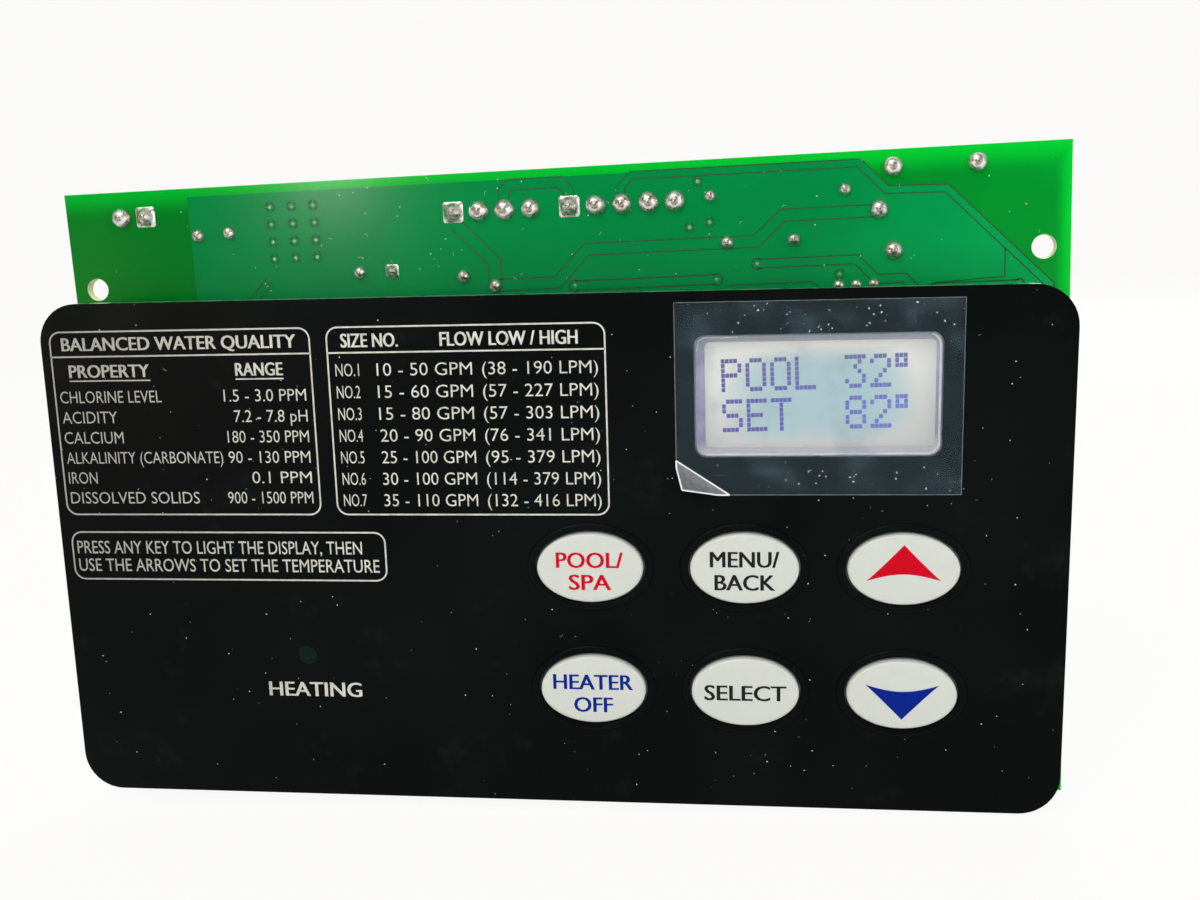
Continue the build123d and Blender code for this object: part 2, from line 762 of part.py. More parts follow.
def make_surface_parts(resistor):
    """Regulator, processor, crystal, relay diodes and resistors on the rear face."""
    body_low = regulator_z - regulator_body_height / 2 - regulator_tab_height / 2
    body_z = body_low + regulator_body_height / 2
    keep("regulator", rear_block(regulator_x, body_z, regulator_width, regulator_body_height,
                                 0, regulator_body_depth))
    tab_z = body_low + regulator_body_height + regulator_tab_height / 2
    tab = [rear_block(regulator_x, tab_z, regulator_width, regulator_tab_height,
                      0, regulator_tab_thickness)]
    for number in (-1, 0, 1):
        tab.append(rear_block(regulator_x + number * regulator_foot_pitch,
                              body_low - regulator_foot_length / 2, regulator_foot_width,
                              regulator_foot_length, 0, regulator_foot_thickness))
    keep("regulator_tab", together(tab))
    keep("processor", rear_block(processor_x, processor_z, processor_length, processor_width,
                                 processor_seat, processor_depth))
    feet = []
    for number in range(processor_leads):
        x = processor_x + (number - (processor_leads - 1) / 2) * processor_lead_pitch
        for side in (-1, 1):
            edge = processor_z + side * processor_width / 2
            foot_z = edge + side * processor_lead_reach / 2
            feet.append(rear_block(x, foot_z, processor_lead_width, processor_lead_reach,
                                   0, processor_lead_thickness)
                        + rear_block(x, edge + side * processor_lead_thickness / 2,
                                     processor_lead_width, processor_lead_thickness,
                                     0, processor_lead_top))
    keep("processor_leads", together(feet))
    can = rear_block(crystal_x, crystal_z, crystal_length, crystal_width, 0, crystal_depth)
    keep("crystal", fillet(can.edges().filter_by(Axis.Y), crystal_width / 2 - crystal_end_flat))
    keep("relay_diodes", together([
        rear_block(x, z, diode_length, diode_width, 0, diode_depth) for x, z in diode_places]))
    keep("resistors", together([resistor] + [
        rear_block(x + number * chip_pitch, z, chip_width, chip_length, 0, chip_depth)
        for x, z, count in chip_rows for number in range(count)]))


def make_settings():
    """The setting switch with its sliders, and the contrast trimmer with its rotor."""
    length = dip_ways * dip_pitch + 2 * dip_end
    body = rear_block(dip_x, dip_z, length, dip_height, 0, dip_depth)
    slot_floor = dip_depth - dip_slot_depth
    low_z = dip_z - dip_slot_height / 2 + dip_slider_gap + dip_slider_side / 2
    for number in range(dip_ways):
        x = dip_x + (number - (dip_ways - 1) / 2) * dip_pitch
        body -= rear_block(x, dip_z, dip_slot_width, dip_slot_height, slot_floor, dip_depth)
        slider = rear_block(x, low_z, dip_slider_side, dip_slider_side, slot_floor + dip_slider_gap,
                            slot_floor + dip_slider_gap + dip_slider_depth)
        keep("setting_slider_" + str(number + 1), slider)
    keep("setting_switch", body)
    well_floor = trimmer_depth - trimmer_well_depth
    trimmer = rear_block(trimmer_x, trimmer_z, trimmer_side, trimmer_side, 0, trimmer_depth)
    trimmer -= rear_rod(trimmer_x, trimmer_z, trimmer_well_radius, well_floor, trimmer_depth)
    rotor_low = well_floor + trimmer_rotor_gap
    rotor_high = rotor_low + trimmer_rotor_depth
    rotor = rear_rod(trimmer_x, trimmer_z, trimmer_rotor_radius, rotor_low, rotor_high)
    rotor -= rear_block(trimmer_x, trimmer_z, trimmer_slot_width, 3 * trimmer_rotor_radius,
                        rotor_high - trimmer_slot_depth, rotor_high)
    keep("contrast_trimmer", trimmer)
    keep("contrast_rotor", rotor)


def make_board():
    """The main board, with its mounting holes and one hole for each lead and screw."""
    middle_z = board_top - board_height / 2 - layout_z
    board = rear_block(0, middle_z, board_width, board_height, -board_thickness, 0)
    holes = [(x, z - layout_z, mount_hole_diameter / 2)
             for x in (-mount_x, mount_x) for z in (-mount_z, mount_z)]
    cuts = [rear_rod(x, z, radius, -board_thickness, 0) for x, z, radius in holes + lead_holes]
    keep("main_board", board - cuts)


def make_solder_joints():
    """One cone of solder round each lead, on the face away from its component."""
    cones = []
    for joints, face, forward in ((front_joints, -board_thickness, True), (rear_joints, 0, False)):
        for x, z, radius, foot, height in joints:
            tip = max(abs(radius), foot * joint_tip_share) + joint_tip_margin
            cone = joint_cone(x, z, foot, tip, height, face, forward)
            if radius < 0:
                cut = rear_block(x, z, -radius, -radius, -board_thickness - height, height)
            else:
                cut = rear_rod(x, z, radius, -board_thickness - height, height)
            cones.append(cone - cut)
    for number in range(header_pins_count):
        x = display_x + (number - (header_pins_count - 1) / 2) * header_pin_pitch
        face = -board_thickness - display_board_front
        foot, height = display_joint
        cone = joint_cone(x, header_row_z, foot, display_joint_tip, height, face, True)
        cones.append(cone - rod(x, header_row_z, header_pin_radius, 0, display_board_front + height))
    keep("solder_joints", together(cones))


os.makedirs("parts", exist_ok=True)
make_keypad(make_keys())
make_window_film()
make_display()
make_status_light()
make_fasteners()
make_plug_headers()
make_relays()
make_capacitors()
resistor = make_axial_parts()
make_transistor()
make_surface_parts(resistor)
make_settings()
make_board()
make_solder_joints()
keep("component_leads", together(component_leads))
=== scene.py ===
"""Finish and stage for the control panel of a gas pool heater, laid out as an add-on."""
import math
import bmesh
import bpy
from mathutils import Matrix, Vector


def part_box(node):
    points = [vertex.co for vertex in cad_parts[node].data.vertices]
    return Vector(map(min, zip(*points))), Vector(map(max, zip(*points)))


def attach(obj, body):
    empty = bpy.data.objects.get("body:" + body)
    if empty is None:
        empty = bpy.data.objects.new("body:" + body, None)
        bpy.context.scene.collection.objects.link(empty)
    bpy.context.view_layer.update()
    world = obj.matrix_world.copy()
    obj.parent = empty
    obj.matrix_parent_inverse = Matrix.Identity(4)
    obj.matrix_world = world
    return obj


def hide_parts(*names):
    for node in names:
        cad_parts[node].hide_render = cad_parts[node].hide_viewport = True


bl_info = {
    "name": "Heater Control Panel",
    "version": (1, 0, 0),
    "blender": (4, 5, 0),
    "location": "3D View > Sidebar > Panel",
    "description": "Builds the finished keypad, board, display and fittings round the fixed frame",
    "category": "Object",
}

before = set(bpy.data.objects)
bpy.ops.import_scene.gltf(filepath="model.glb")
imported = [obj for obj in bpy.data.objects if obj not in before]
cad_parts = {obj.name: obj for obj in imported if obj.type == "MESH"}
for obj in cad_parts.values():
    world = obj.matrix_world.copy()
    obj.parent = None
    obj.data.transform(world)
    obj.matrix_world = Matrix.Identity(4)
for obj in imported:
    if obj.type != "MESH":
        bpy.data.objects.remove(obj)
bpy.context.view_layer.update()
MM = 0.001
BODY = "panel"
LEVEL = Matrix.Identity(4)
UNIT = Vector((1, 1, 1))
NO_TURN = Vector((0, 0, 0))
TO_REAR = Vector((math.pi, 0, 0))

# ---- places read from the frame ----


def middle(node):
    """The centre of a frame node's box."""
    low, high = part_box(node)
    return (low + high) / 2


KEY_GRID = [["key_pool_spa", "key_menu_back", "key_up"], ["key_heater_off", "key_select", "key_down"]]
FIRST_KEY = middle(KEY_GRID[0][0])
ROW_END = middle(KEY_GRID[0][2])
ROLL = math.atan2(FIRST_KEY.z - ROW_END.z, ROW_END.x - FIRST_KEY.x)
PITCH_X = math.hypot(ROW_END.x - FIRST_KEY.x, FIRST_KEY.z - ROW_END.z) / 2
PITCH_Z = (middle(KEY_GRID[1][0]) - FIRST_KEY).length
BOARD_LOW, BOARD_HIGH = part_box("main_board")
BOARD_FRONT = BOARD_LOW.y
BOARD_REAR = BOARD_HIGH.y
FILM_THICKNESS = 0.25 * MM
KEYPAD_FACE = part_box("graphic_overlay")[1].y - FILM_THICKNESS
LENS_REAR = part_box("window_lens")[1].y
BEZEL_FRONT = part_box("display_bezel")[0].y
DISPLAY_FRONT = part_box("display_polarizer")[0].y
ON_KEYPAD = Matrix.Translation((FIRST_KEY.x, 0, FIRST_KEY.z)) @ Matrix.Rotation(ROLL, 4, "Y")


def size_setting(label, description, millimetres):
    """A size in millimetres."""
    return bpy.props.FloatProperty(name=label, description=description, default=millimetres)


def colour_setting(label, description, colour):
    """A base colour."""
    return bpy.props.FloatVectorProperty(name=label, description=description, subtype="COLOR",
                                         default=colour)


class PanelSizes(bpy.types.PropertyGroup):
    """Sizes of the finished pieces, in millimetres."""

    keypad_width: size_setting("Keypad width", "Width of the printed film", 152.4)
    keypad_height: size_setting("Keypad height", "Height of the printed film", 78.2)
    keypad_corner: size_setting("Keypad corner", "Corner radius of the film", 6.0)
    keypad_left: size_setting("First key from left", "From the film's left edge to the first key", 83.5)
    keypad_top: size_setting("First key from top", "From the film's top edge to the first key", 40.6)
    key_width: size_setting("Key width", "Width of a key's oval", 15.9)
    key_height: size_setting("Key height", "Height of a key's oval", 10.5)
    key_rise: size_setting("Key rise", "How far a key stands out", 0.9)
    key_gap: size_setting("Key gap", "Gap round a key", 0.3)
    window_width: size_setting("Window width", "Width of the window", 35.0)
    window_height: size_setting("Window height", "Height of the window", 17.8)
    window_corner: size_setting("Window corner", "Corner radius of the window", 1.7)
    window_x: size_setting("Window X", "Window centre to the right of the first key", 33.32)
    window_z: size_setting("Window Z", "Window centre above the first key", 25.4)
    ink: size_setting("Ink", "Thickness of printed ink", 0.02)
    dot: size_setting("Display dot", "Side of one display dot", 0.55)
    dot_pitch_x: size_setting("Dot pitch X", "Dot spacing across", 0.60)
    dot_pitch_z: size_setting("Dot pitch Z", "Dot spacing down", 0.70)
    letter_pitch: size_setting("Letter pitch", "Character spacing", 3.55)
    line_pitch: size_setting("Line pitch", "Spacing of the two lines", 5.94)


class PanelColours(bpy.types.PropertyGroup):
    """Base colours of the main finishes."""

    film: colour_setting("Keypad film", "Near-black printed film", (0.0014, 0.0027, 0.0025))
    key: colour_setting("Key", "Off-white key caps", (0.60, 0.63, 0.585))
    print_white: colour_setting("Print", "Pale printed tables", (0.58, 0.58, 0.52))
    legend_red: colour_setting("Red legend", "Red key legends", (0.56, 0.0, 0.012))
    legend_blue: colour_setting("Blue legend", "Blue key legends", (0.0, 0.015, 0.24))
    legend_black: colour_setting("Black legend", "Black key legends", (0.012, 0.012, 0.012))
    mask: colour_setting("Solder mask", "Green mask over bare board", (0.0, 0.165, 0.014))
    # Painted backlight glow: the brighter green that mask_finish paints near the board's right and top edges.
    mask_painted_edge_glow: colour_setting("Mask at the edge", "Brighter green at the board's edge", (0.0, 0.56, 0.03))
    copper_mask: colour_setting("Mask over copper", "Deeper green where copper lies below",
                                (0.0, 0.20, 0.045))


def sizes():
    return bpy.context.scene.panel_sizes


def colours():
    return bpy.context.scene.panel_colours


# ---- materials ----


def node(tree, kind, inputs=None, **settings):
    """Add a node, with its settings and its inputs, which are values or sockets to link."""
    made = tree.nodes.new(kind)
    for key, value in settings.items():
        setattr(made, key, value)
    for key, value in (inputs or {}).items():
        if isinstance(value, bpy.types.NodeSocket):
            tree.links.new(value, made.inputs[key])
        else:
            made.inputs[key].default_value = value
    return made


def start_material(name, **sockets):
    """A new material with a Principled shader and object coordinates."""
    material = bpy.data.materials.new(name)
    material.use_nodes = True
    tree = material.node_tree
    shader = tree.nodes["Principled BSDF"]
    for key, value in sockets.items():
        shader.inputs[key.replace("_", " ")].default_value = value
    place = node(tree, "ShaderNodeTexCoord").outputs["Object"]
    return material, tree, shader, place


def rgba(colour):
    return (colour[0], colour[1], colour[2], 1.0)


def shade(colour, factor):
    return tuple(min(1.0, part * factor) for part in colour)


def noise(tree, place, scale, detail=3.0, roughness=0.55):
    """A noise pattern's value, with its scale in cells per metre."""
    return node(tree, "ShaderNodeTexNoise", {"Vector": place, "Scale": scale, "Detail": detail,
                                             "Roughness": roughness}).outputs["Fac"]


def ramp(tree, value, low, high, to_low=0.0, to_high=1.0, smooth=True):
    """A value mapped from one range to another."""
    return node(tree, "ShaderNodeMapRange", {"Value": value, "From Min": low, "From Max": high,
                                             "To Min": to_low, "To Max": to_high},
                interpolation_type="SMOOTHSTEP" if smooth else "LINEAR").outputs["Result"]


def mix(tree, factor, first, second):
    """A mix of two colours."""
    made = node(tree, "ShaderNodeMix", data_type="RGBA")
    for socket, value in ((0, factor), (6, first), (7, second)):
        if isinstance(value, bpy.types.NodeSocket):
            tree.links.new(value, made.inputs[socket])
        else:
            made.inputs[socket].default_value = value if socket == 0 else rgba(value)
    return made.outputs[2]


def calc(tree, operation, *values):
    """The result of a sum on values or sockets."""
    return node(tree, "ShaderNodeMath", dict(enumerate(values)), operation=operation).outputs[0]


def along_axis(tree, place, axis):
    """One coordinate of a place."""
    return node(tree, "ShaderNodeSeparateXYZ", {"Vector": place}).outputs[axis]


def light_up(tree, shader, colour, strength):
    """Colour a surface that also glows a little."""
    tree.links.new(colour, shader.inputs["Base Color"])
    tree.links.new(colour, shader.inputs["Emission Color"])
    shader.inputs["Emission Strength"].default_value = strength


def bump(tree, shader, height, distance, strength=1.0):
    """Raise the surface by a pattern."""
    made = node(tree, "ShaderNodeBump", {"Height": height, "Distance": distance, "Strength": strength})
    tree.links.new(made.outputs["Normal"], shader.inputs["Normal"])


def finish(name, colour, roughness=0.45, metallic=0.0, tone=0.12, patch=400.0, grain=6000.0,
           grain_depth=0.00001, rough_spread=0.12, scuff=0.0, scuff_colour=(0.5, 0.5, 0.5), **sockets):
    """A finish with uneven tone, fine grain, varying gloss and, where asked, fine scuffs."""
    material, tree, shader, place = start_material(name, Metallic=metallic, **sockets)
    patches = noise(tree, place, patch)
    base = mix(tree, patches, shade(colour, 1 - tone), shade(colour, 1 + tone))
    if scuff:
        scratches = node(tree, "ShaderNodeMapping", {"Vector": place, "Scale": (300.0, 300.0, 4500.0),
                                                     "Rotation": (0.0, 0.6, 0.0)}).outputs["Vector"]
        marks = ramp(tree, noise(tree, scratches, 1.0, 4.0), 0.64, 0.74, 0.0, scuff)
        base = mix(tree, marks, base, scuff_colour)
    tree.links.new(base, shader.inputs["Base Color"])
    tree.links.new(ramp(tree, noise(tree, place, patch * 3), 0.3, 0.7,
                        max(0.02, roughness - rough_spread), min(1.0, roughness + rough_spread)),
                   shader.inputs["Roughness"])
    bump(tree, shader, noise(tree, place, grain, 2.0), grain_depth)
    return material


def mask_finish(name, inner, edge=None):
    """Green solder mask: glossy and a little wavy, with painted backlight glow that makes it brighter towards
    the right and towards the board's edges.
    """
    material, tree, shader, place = start_material(name, Roughness=0.17)
    axes = node(tree, "ShaderNodeSeparateXYZ", {"Vector": place})
    across = ramp(tree, axes.outputs["X"], BOARD_LOW.x, BOARD_HIGH.x, smooth=False)
    # Painted backlight glow: the green brightens from left to right, and much more over the right part of the
    # board.
    colour = mix(tree, across, shade(inner, 0.99), shade(inner, 1.27))
    colour = mix(tree, ramp(tree, axes.outputs["X"], 36 * MM, 72 * MM), colour, shade(inner, 1.85))
    shine = ramp(tree, axes.outputs["X"], -60 * MM, -48 * MM, 0.03, 0.10)
    tree.links.new(shine, shader.inputs["Specular IOR Level"])
    colour = mix(tree, ramp(tree, noise(tree, place, 60.0, 2.0), 0.35, 0.65, 0.0, 0.25), colour,
                 shade(inner, 0.75))
    # Painted backlight glow near the right and top edges, stronger towards the right.
    if edge:
        gaps = [calc(tree, "SUBTRACT", far, axes.outputs[axis])
                for axis, far in (("X", BOARD_HIGH.x), ("Z", BOARD_HIGH.z))]
        side = calc(tree, "MULTIPLY", gaps[0], 1.7)
        gap = calc(tree, "MINIMUM", side, gaps[1])
        reach = calc(tree, "MULTIPLY_ADD", across, 0.5, 0.5)
        near = ramp(tree, gap, 0.0, 4.2 * MM, 1.0, 0.0)
        near = calc(tree, "MULTIPLY", near, reach)
        colour = mix(tree, near, colour, edge)
    tree.links.new(colour, shader.inputs["Base Color"])
    weave_place = node(tree, "ShaderNodeMapping", {"Vector": place, "Scale": (900.0, 900.0, 2400.0)})
    weave = noise(tree, weave_place.outputs["Vector"], 1.0, 2.0)
    bump(tree, shader, weave, 0.000012, 0.8)
    return material


def film_finish():
    """Near-black printed film with a fine satin texture, smudges and a dusting of pale specks."""
    material, tree, shader, place = start_material("keypad_film_black")
    shader.inputs["Specular IOR Level"].default_value = 0.048
    tint = mix(tree, ramp(tree, noise(tree, place, 25.0, 2.0), 0.35, 0.7), shade(colours().film, 0.7),
               shade(colours().film, 1.5))
    smudge = ramp(tree, noise(tree, place, 90.0, 6.0, 0.7), 0.55, 0.8, 0.0, 0.05)
    tint = mix(tree, smudge, tint, (0.12, 0.13, 0.12))
    specks = node(tree, "ShaderNodeTexVoronoi", {"Vector": place, "Scale": 620.0, "Randomness": 1.0})
    near = ramp(tree, specks.outputs["Distance"], 0.03, 0.075, 1.0, 0.0)
    pick = node(tree, "ShaderNodeSeparateColor", {"Color": specks.outputs["Color"]}).outputs["Red"]
    few = ramp(tree, pick, 0.82, 0.9)
    dust = calc(tree, "MULTIPLY", near, few)
    dust = calc(tree, "MULTIPLY", dust, 0.55)
    tint = mix(tree, dust, tint, (0.42, 0.44, 0.38))
    tree.links.new(tint, shader.inputs["Base Color"])
    tree.links.new(ramp(tree, noise(tree, place, 140.0, 5.0, 0.65), 0.3, 0.75, 0.30, 0.46),
                   shader.inputs["Roughness"])
    bump(tree, shader, noise(tree, place, 9000.0, 2.0), 0.000004, 0.6)
    return material


def print_finish():
    """Pale printed ink, dimmer on the left and faintly worn."""
    material, tree, shader, place = start_material("print_ink", Roughness=0.5)
    shader.inputs["Specular IOR Level"].default_value = 0.1
    across = along_axis(tree, place, "X")
    colour = mix(tree, ramp(tree, across, -80 * MM, -25 * MM), shade(colours().print_white, 0.58),
                 shade(colours().print_white, 1.12))
    worn = ramp(tree, noise(tree, place, 900.0, 3.0), 0.35, 0.6, 0.35, 0.0)
    tree.links.new(mix(tree, worn, colour, shade(colours().print_white, 0.45)), shader.inputs["Base Color"])
    bump(tree, shader, noise(tree, place, 5000.0, 2.0), 0.000004)
    return material


def solder_finish():
    """Tinned solder: bright, lumpy and browned with flux residue towards the tip."""
    material, tree, shader, place = start_material("solder_tin", Metallic=1.0)
    patches = ramp(tree, noise(tree, place, 1400.0, 4.0, 0.6), 0.42, 0.66)
    base = mix(tree, patches, (0.86, 0.85, 0.80), (0.55, 0.50, 0.42))
    tip = node(tree, "ShaderNodeAttribute", attribute_name="tip").outputs["Fac"]
    base = mix(tree, tip, base, (0.34, 0.29, 0.20))
    tree.links.new(base, shader.inputs["Base Color"])
    tree.links.new(ramp(tree, noise(tree, place, 2200.0, 3.0), 0.3, 0.7, 0.22, 0.46),
                   shader.inputs["Roughness"])
    bump(tree, shader, noise(tree, place, 1500.0, 3.0), 0.00005, 0.8)
    return material


def display_finish():
    """The display's lit face: pale beige at the rim and cyan in the middle."""
    material, tree, shader, place = start_material("display_face_lit", Roughness=0.35)
    shader.inputs["Specular IOR Level"].default_value = 0.2
    low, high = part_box("display_polarizer")
    centre = (low + high) / 2
    moved = node(tree, "ShaderNodeMapping", {
        "Vector": place, "Location": (-centre.x * 62.0, 0.0, -centre.z * 124.0),
        "Scale": (62.0, 0.0, 124.0)}, vector_type="POINT").outputs["Vector"]
    power = node(tree, "ShaderNodeVectorMath", {0: moved, 1: moved}, operation="MULTIPLY").outputs[0]
    power = node(tree, "ShaderNodeVectorMath", {0: power, 1: power}, operation="MULTIPLY").outputs[0]
    spread = node(tree, "ShaderNodeVectorMath", {0: power, 1: (1.0, 1.0, 1.0)}, operation="DOT_PRODUCT")
    uneven = calc(tree, "MULTIPLY", noise(tree, place, 120.0, 2.0), 0.35)
    reach = calc(tree, "ADD", spread.outputs["Value"], uneven)
    field = ramp(tree, reach, 0.12, 0.85)
    up = along_axis(tree, place, "Z")
    rim = mix(tree, ramp(tree, up, low.z, high.z), (0.53, 0.54, 0.52), (0.80, 0.80, 0.74))
    colour = mix(tree, field, (0.34, 0.51, 0.55), rim)
    light_up(tree, shader, colour, 0.21)
    bump(tree, shader, noise(tree, place, 3000.0, 2.0), 0.000004)
    return material


def dot_finish():
    """Display dots: grey-violet at the upper left, paler blue to the right."""
    material, tree, shader, place = start_material("display_dot_blue", Roughness=0.4)
    axes = node(tree, "ShaderNodeSeparateXYZ", {"Vector": place})
    low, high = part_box("display_polarizer")
    across = ramp(tree, axes.outputs["X"], low.x + 6 * MM, high.x - 6 * MM)
    up = ramp(tree, axes.outputs["Z"], low.z + 6 * MM, high.z - 3 * MM)
    colour = mix(tree, across, (0.05, 0.015, 0.38), (0.08, 0.13, 0.62))
    colour = mix(tree, calc(tree, "MULTIPLY", up, 0.6),
                 colour, (0.09, 0.07, 0.22))
    light_up(tree, shader, colour, 0.10)
    bump(tree, shader, noise(tree, place, 4000.0, 2.0), 0.000003)
    return material


def clear_finish(name, colour, alpha, roughness=0.08, haze=0.0):
    """A clear sheet whose faint haze and scuffs show over what lies behind."""
    material, tree, shader, place = start_material(name, Roughness=roughness)
    shader.inputs["Base Color"].default_value = rgba(colour)
    shader.inputs["Specular IOR Level"].default_value = 0.08
    cloud = ramp(tree, noise(tree, place, 150.0, 4.0, 0.5), 0.48, 0.80, 0.0, haze)
    streak_place = node(tree, "ShaderNodeMapping", {"Vector": place, "Scale": (160.0, 100.0, 2600.0),
                                                    "Rotation": (0.0, 0.9, 0.0)}).outputs["Vector"]
    streak = ramp(tree, noise(tree, streak_place, 1.0, 5.0, 0.6), 0.62, 0.78, 0.0, haze * 1.6)
    veil = calc(tree, "ADD", cloud, streak)
    veil = calc(tree, "ADD", veil, alpha)
    tree.links.new(veil, shader.inputs["Alpha"])
    bump(tree, shader, noise(tree, place, 500.0, 2.0), 0.00001, 0.4)
    return material


# ---- mesh building ----


def closed_mesh(name, rings, loop=False):
    """A skin over rings of equally many points; the ends are capped, or joined in a loop."""
    mesh = bmesh.new()
    made = [[mesh.verts.new(point) for point in ring] for ring in rings]
    pairs = list(zip(made, made[1:])) + ([(made[-1], made[0])] if loop else [])
    for first, second in pairs:
        for i in range(len(first)):
            j = (i + 1) % len(first)
            mesh.faces.new((first[i], first[j], second[j], second[i]))
    if not loop:
        for ring in (made[0], made[-1]):
            mesh.faces.new(ring)
    bmesh.ops.recalc_face_normals(mesh, faces=mesh.faces)
    result = bpy.data.meshes.new(name)
    mesh.to_mesh(result)
    mesh.free()
    return result


def smooth(mesh, angle=35.0):
    """Smooth shading that keeps edges sharper than an angle."""
    mesh.shade_smooth()
    mesh.set_sharp_from_angle(angle=math.radians(angle))
    return mesh


def oval(a, b, count=64):
    """Points round an ellipse, as x and z."""
    return [(a * math.cos(2 * math.pi * i / count),
             b * math.sin(2 * math.pi * i / count)) for i in range(count)]


def rounded(width, height, corner, steps=7):
    """Points round a rectangle with round corners, as x and z."""
    points = []
    for quarter, (sx, sz) in enumerate(((1, 1), (-1, 1), (-1, -1), (1, -1))):
        for i in range(steps + 1):
            angle = math.radians(90 * (quarter + i / steps))
            points.append((sx * (width / 2 - corner) + corner * math.cos(angle),
                           sz * (height / 2 - corner) + corner * math.sin(angle)))
    return points


def ring_at(outline, x, y, z, matrix=ON_KEYPAD):
    """An outline in millimetres, set at a place whose y is in metres."""
    return [matrix @ Vector(((x + px) * MM, y, (z + pz) * MM)) for px, pz in outline]


def join_meshes(name, meshes):
    """Several meshes as one."""
    joined = bmesh.new()
    for mesh in meshes:
        joined.from_mesh(mesh)
        bpy.data.meshes.remove(mesh)
    result = bpy.data.meshes.new(name)
    joined.to_mesh(result)
    joined.free()
    return result


def place_piece(name, mesh, material, body=BODY, replaced=()):
    """Put a finished mesh in the scene, on its body."""
    piece = bpy.data.objects.new(name, mesh)
    bpy.context.scene.collection.objects.link(piece)
    mesh.name = name
    mesh.materials.clear()
    mesh.materials.append(material)
    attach(piece, body)
    if replaced:
        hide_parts(*replaced)
    return piece


def flat_shape(name, outlines, low, high, edge=0.0, matrix=ON_KEYPAD):
    """A plate with holes between two y values, from outlines in millimetres; the first is the outside."""
    curve = bpy.data.curves.new(name, "CURVE")
    curve.dimensions = "2D"
    curve.fill_mode = "BOTH"
    curve.extrude = abs(high - low) / 2 - edge
    curve.bevel_depth = edge
    curve.bevel_resolution = 1
    curve.offset = -edge
    for outline in outlines:
        spline = curve.splines.new("POLY")
        spline.points.add(len(outline) - 1)
        for point, (x, z) in zip(spline.points, outline):
            point.co = (x * MM, z * MM, 0, 1)
        spline.use_cyclic_u = True
    holder = bpy.data.objects.new(name, curve)
    bpy.context.scene.collection.objects.link(holder)
    bpy.context.view_layer.update()
    mesh = bpy.data.meshes.new_from_object(holder.evaluated_get(bpy.context.evaluated_depsgraph_get()))
    bpy.data.objects.remove(holder)
    mesh.transform(matrix @ Matrix.Translation((0, (low + high) / 2, 0)) @ Matrix.Rotation(math.pi / 2, 4,
                                                                                           "X"))
    whole = bmesh.new()
    whole.from_mesh(mesh)
    bmesh.ops.remove_doubles(whole, verts=whole.verts, dist=1e-7)
    bmesh.ops.recalc_face_normals(whole, faces=whole.faces)
    whole.to_mesh(mesh)
    whole.free()
    return mesh


def lettering(text, left, right, base, cap, weight=0.0):
    """Text as a mesh in millimetres, between two sides, a base line and a cap height; weight thickens it."""
    curve = bpy.data.curves.new("lettering", "FONT")
    curve.body = text
    curve.size = 1.0
    curve.resolution_u = 3
    curve.offset = min(0.0, weight)
    curve.extrude = 0.01
    holder = bpy.data.objects.new("lettering", curve)
    bpy.context.scene.collection.objects.link(holder)
    bpy.context.view_layer.update()
    mesh = bpy.data.meshes.new_from_object(holder.evaluated_get(bpy.context.evaluated_depsgraph_get()))
    bpy.data.objects.remove(holder)
    xs = [v.co.x for v in mesh.vertices]
    size = cap / 0.73
    across = size * 0.92 if right is None else (right - left) / (max(xs) - min(xs))
    fit = Matrix.Translation((left - min(xs) * across, base, 0)) @ Matrix.Diagonal((across, size, 1, 1))
    mesh.transform(fit)
    if weight <= 0:
        return mesh
    copies = []
    for number, step in enumerate((-1, -0.35, 0.35, 1)):
        copy = mesh.copy()
        copy.transform(Matrix.Translation((step * weight, 0, 0)) @ Matrix.Diagonal((1, 1,
                                                                                    1 + 0.15 * number, 1)))
        copies.append(copy)
    bpy.data.meshes.remove(mesh)
    return join_meshes("lettering", copies)


def lay_ink(name, meshes, surface, ink, matrix=ON_KEYPAD):
    """Turn flat millimetre meshes into ink on a surface, whose y is given at each x and z."""
    mesh = join_meshes(name, meshes)
    for vertex in mesh.vertices:
        x, z, front = vertex.co.x, vertex.co.y, vertex.co.z > 0
        y = surface(x, z) - (ink * vertex.co.z / 0.01 if front else -0.2 * ink)
        vertex.co = matrix @ Vector((x * MM, y, z * MM))
    return mesh


# ---- node trees for what repeats ----


def start_tree(name, sockets):
    """A geometry node tree with named inputs."""
    tree = bpy.data.node_groups.new(name, "GeometryNodeTree")
    tree.interface.new_socket("Geometry", in_out="INPUT", socket_type="NodeSocketGeometry")
    for label, kind, default in sockets:
        socket = tree.interface.new_socket(label, in_out="INPUT", socket_type="NodeSocket" + kind)
        if default is not None:
            socket.default_value = default
    tree.interface.new_socket("Geometry", in_out="OUTPUT", socket_type="NodeSocketGeometry")
    source = tree.nodes.new("NodeGroupInput").outputs
    return tree, source


def end_tree(tree, source, geometry):
    """Realize the instances, set the material and send the result out."""
    real = node(tree, "GeometryNodeRealizeInstances", {"Geometry": geometry})
    done = node(tree, "GeometryNodeSetMaterial", {"Geometry": real.outputs[0],
                                                  "Material": source["Material"]})
    out = tree.nodes.new("NodeGroupOutput")
    tree.links.new(done.outputs[0], out.inputs[0])
    return tree


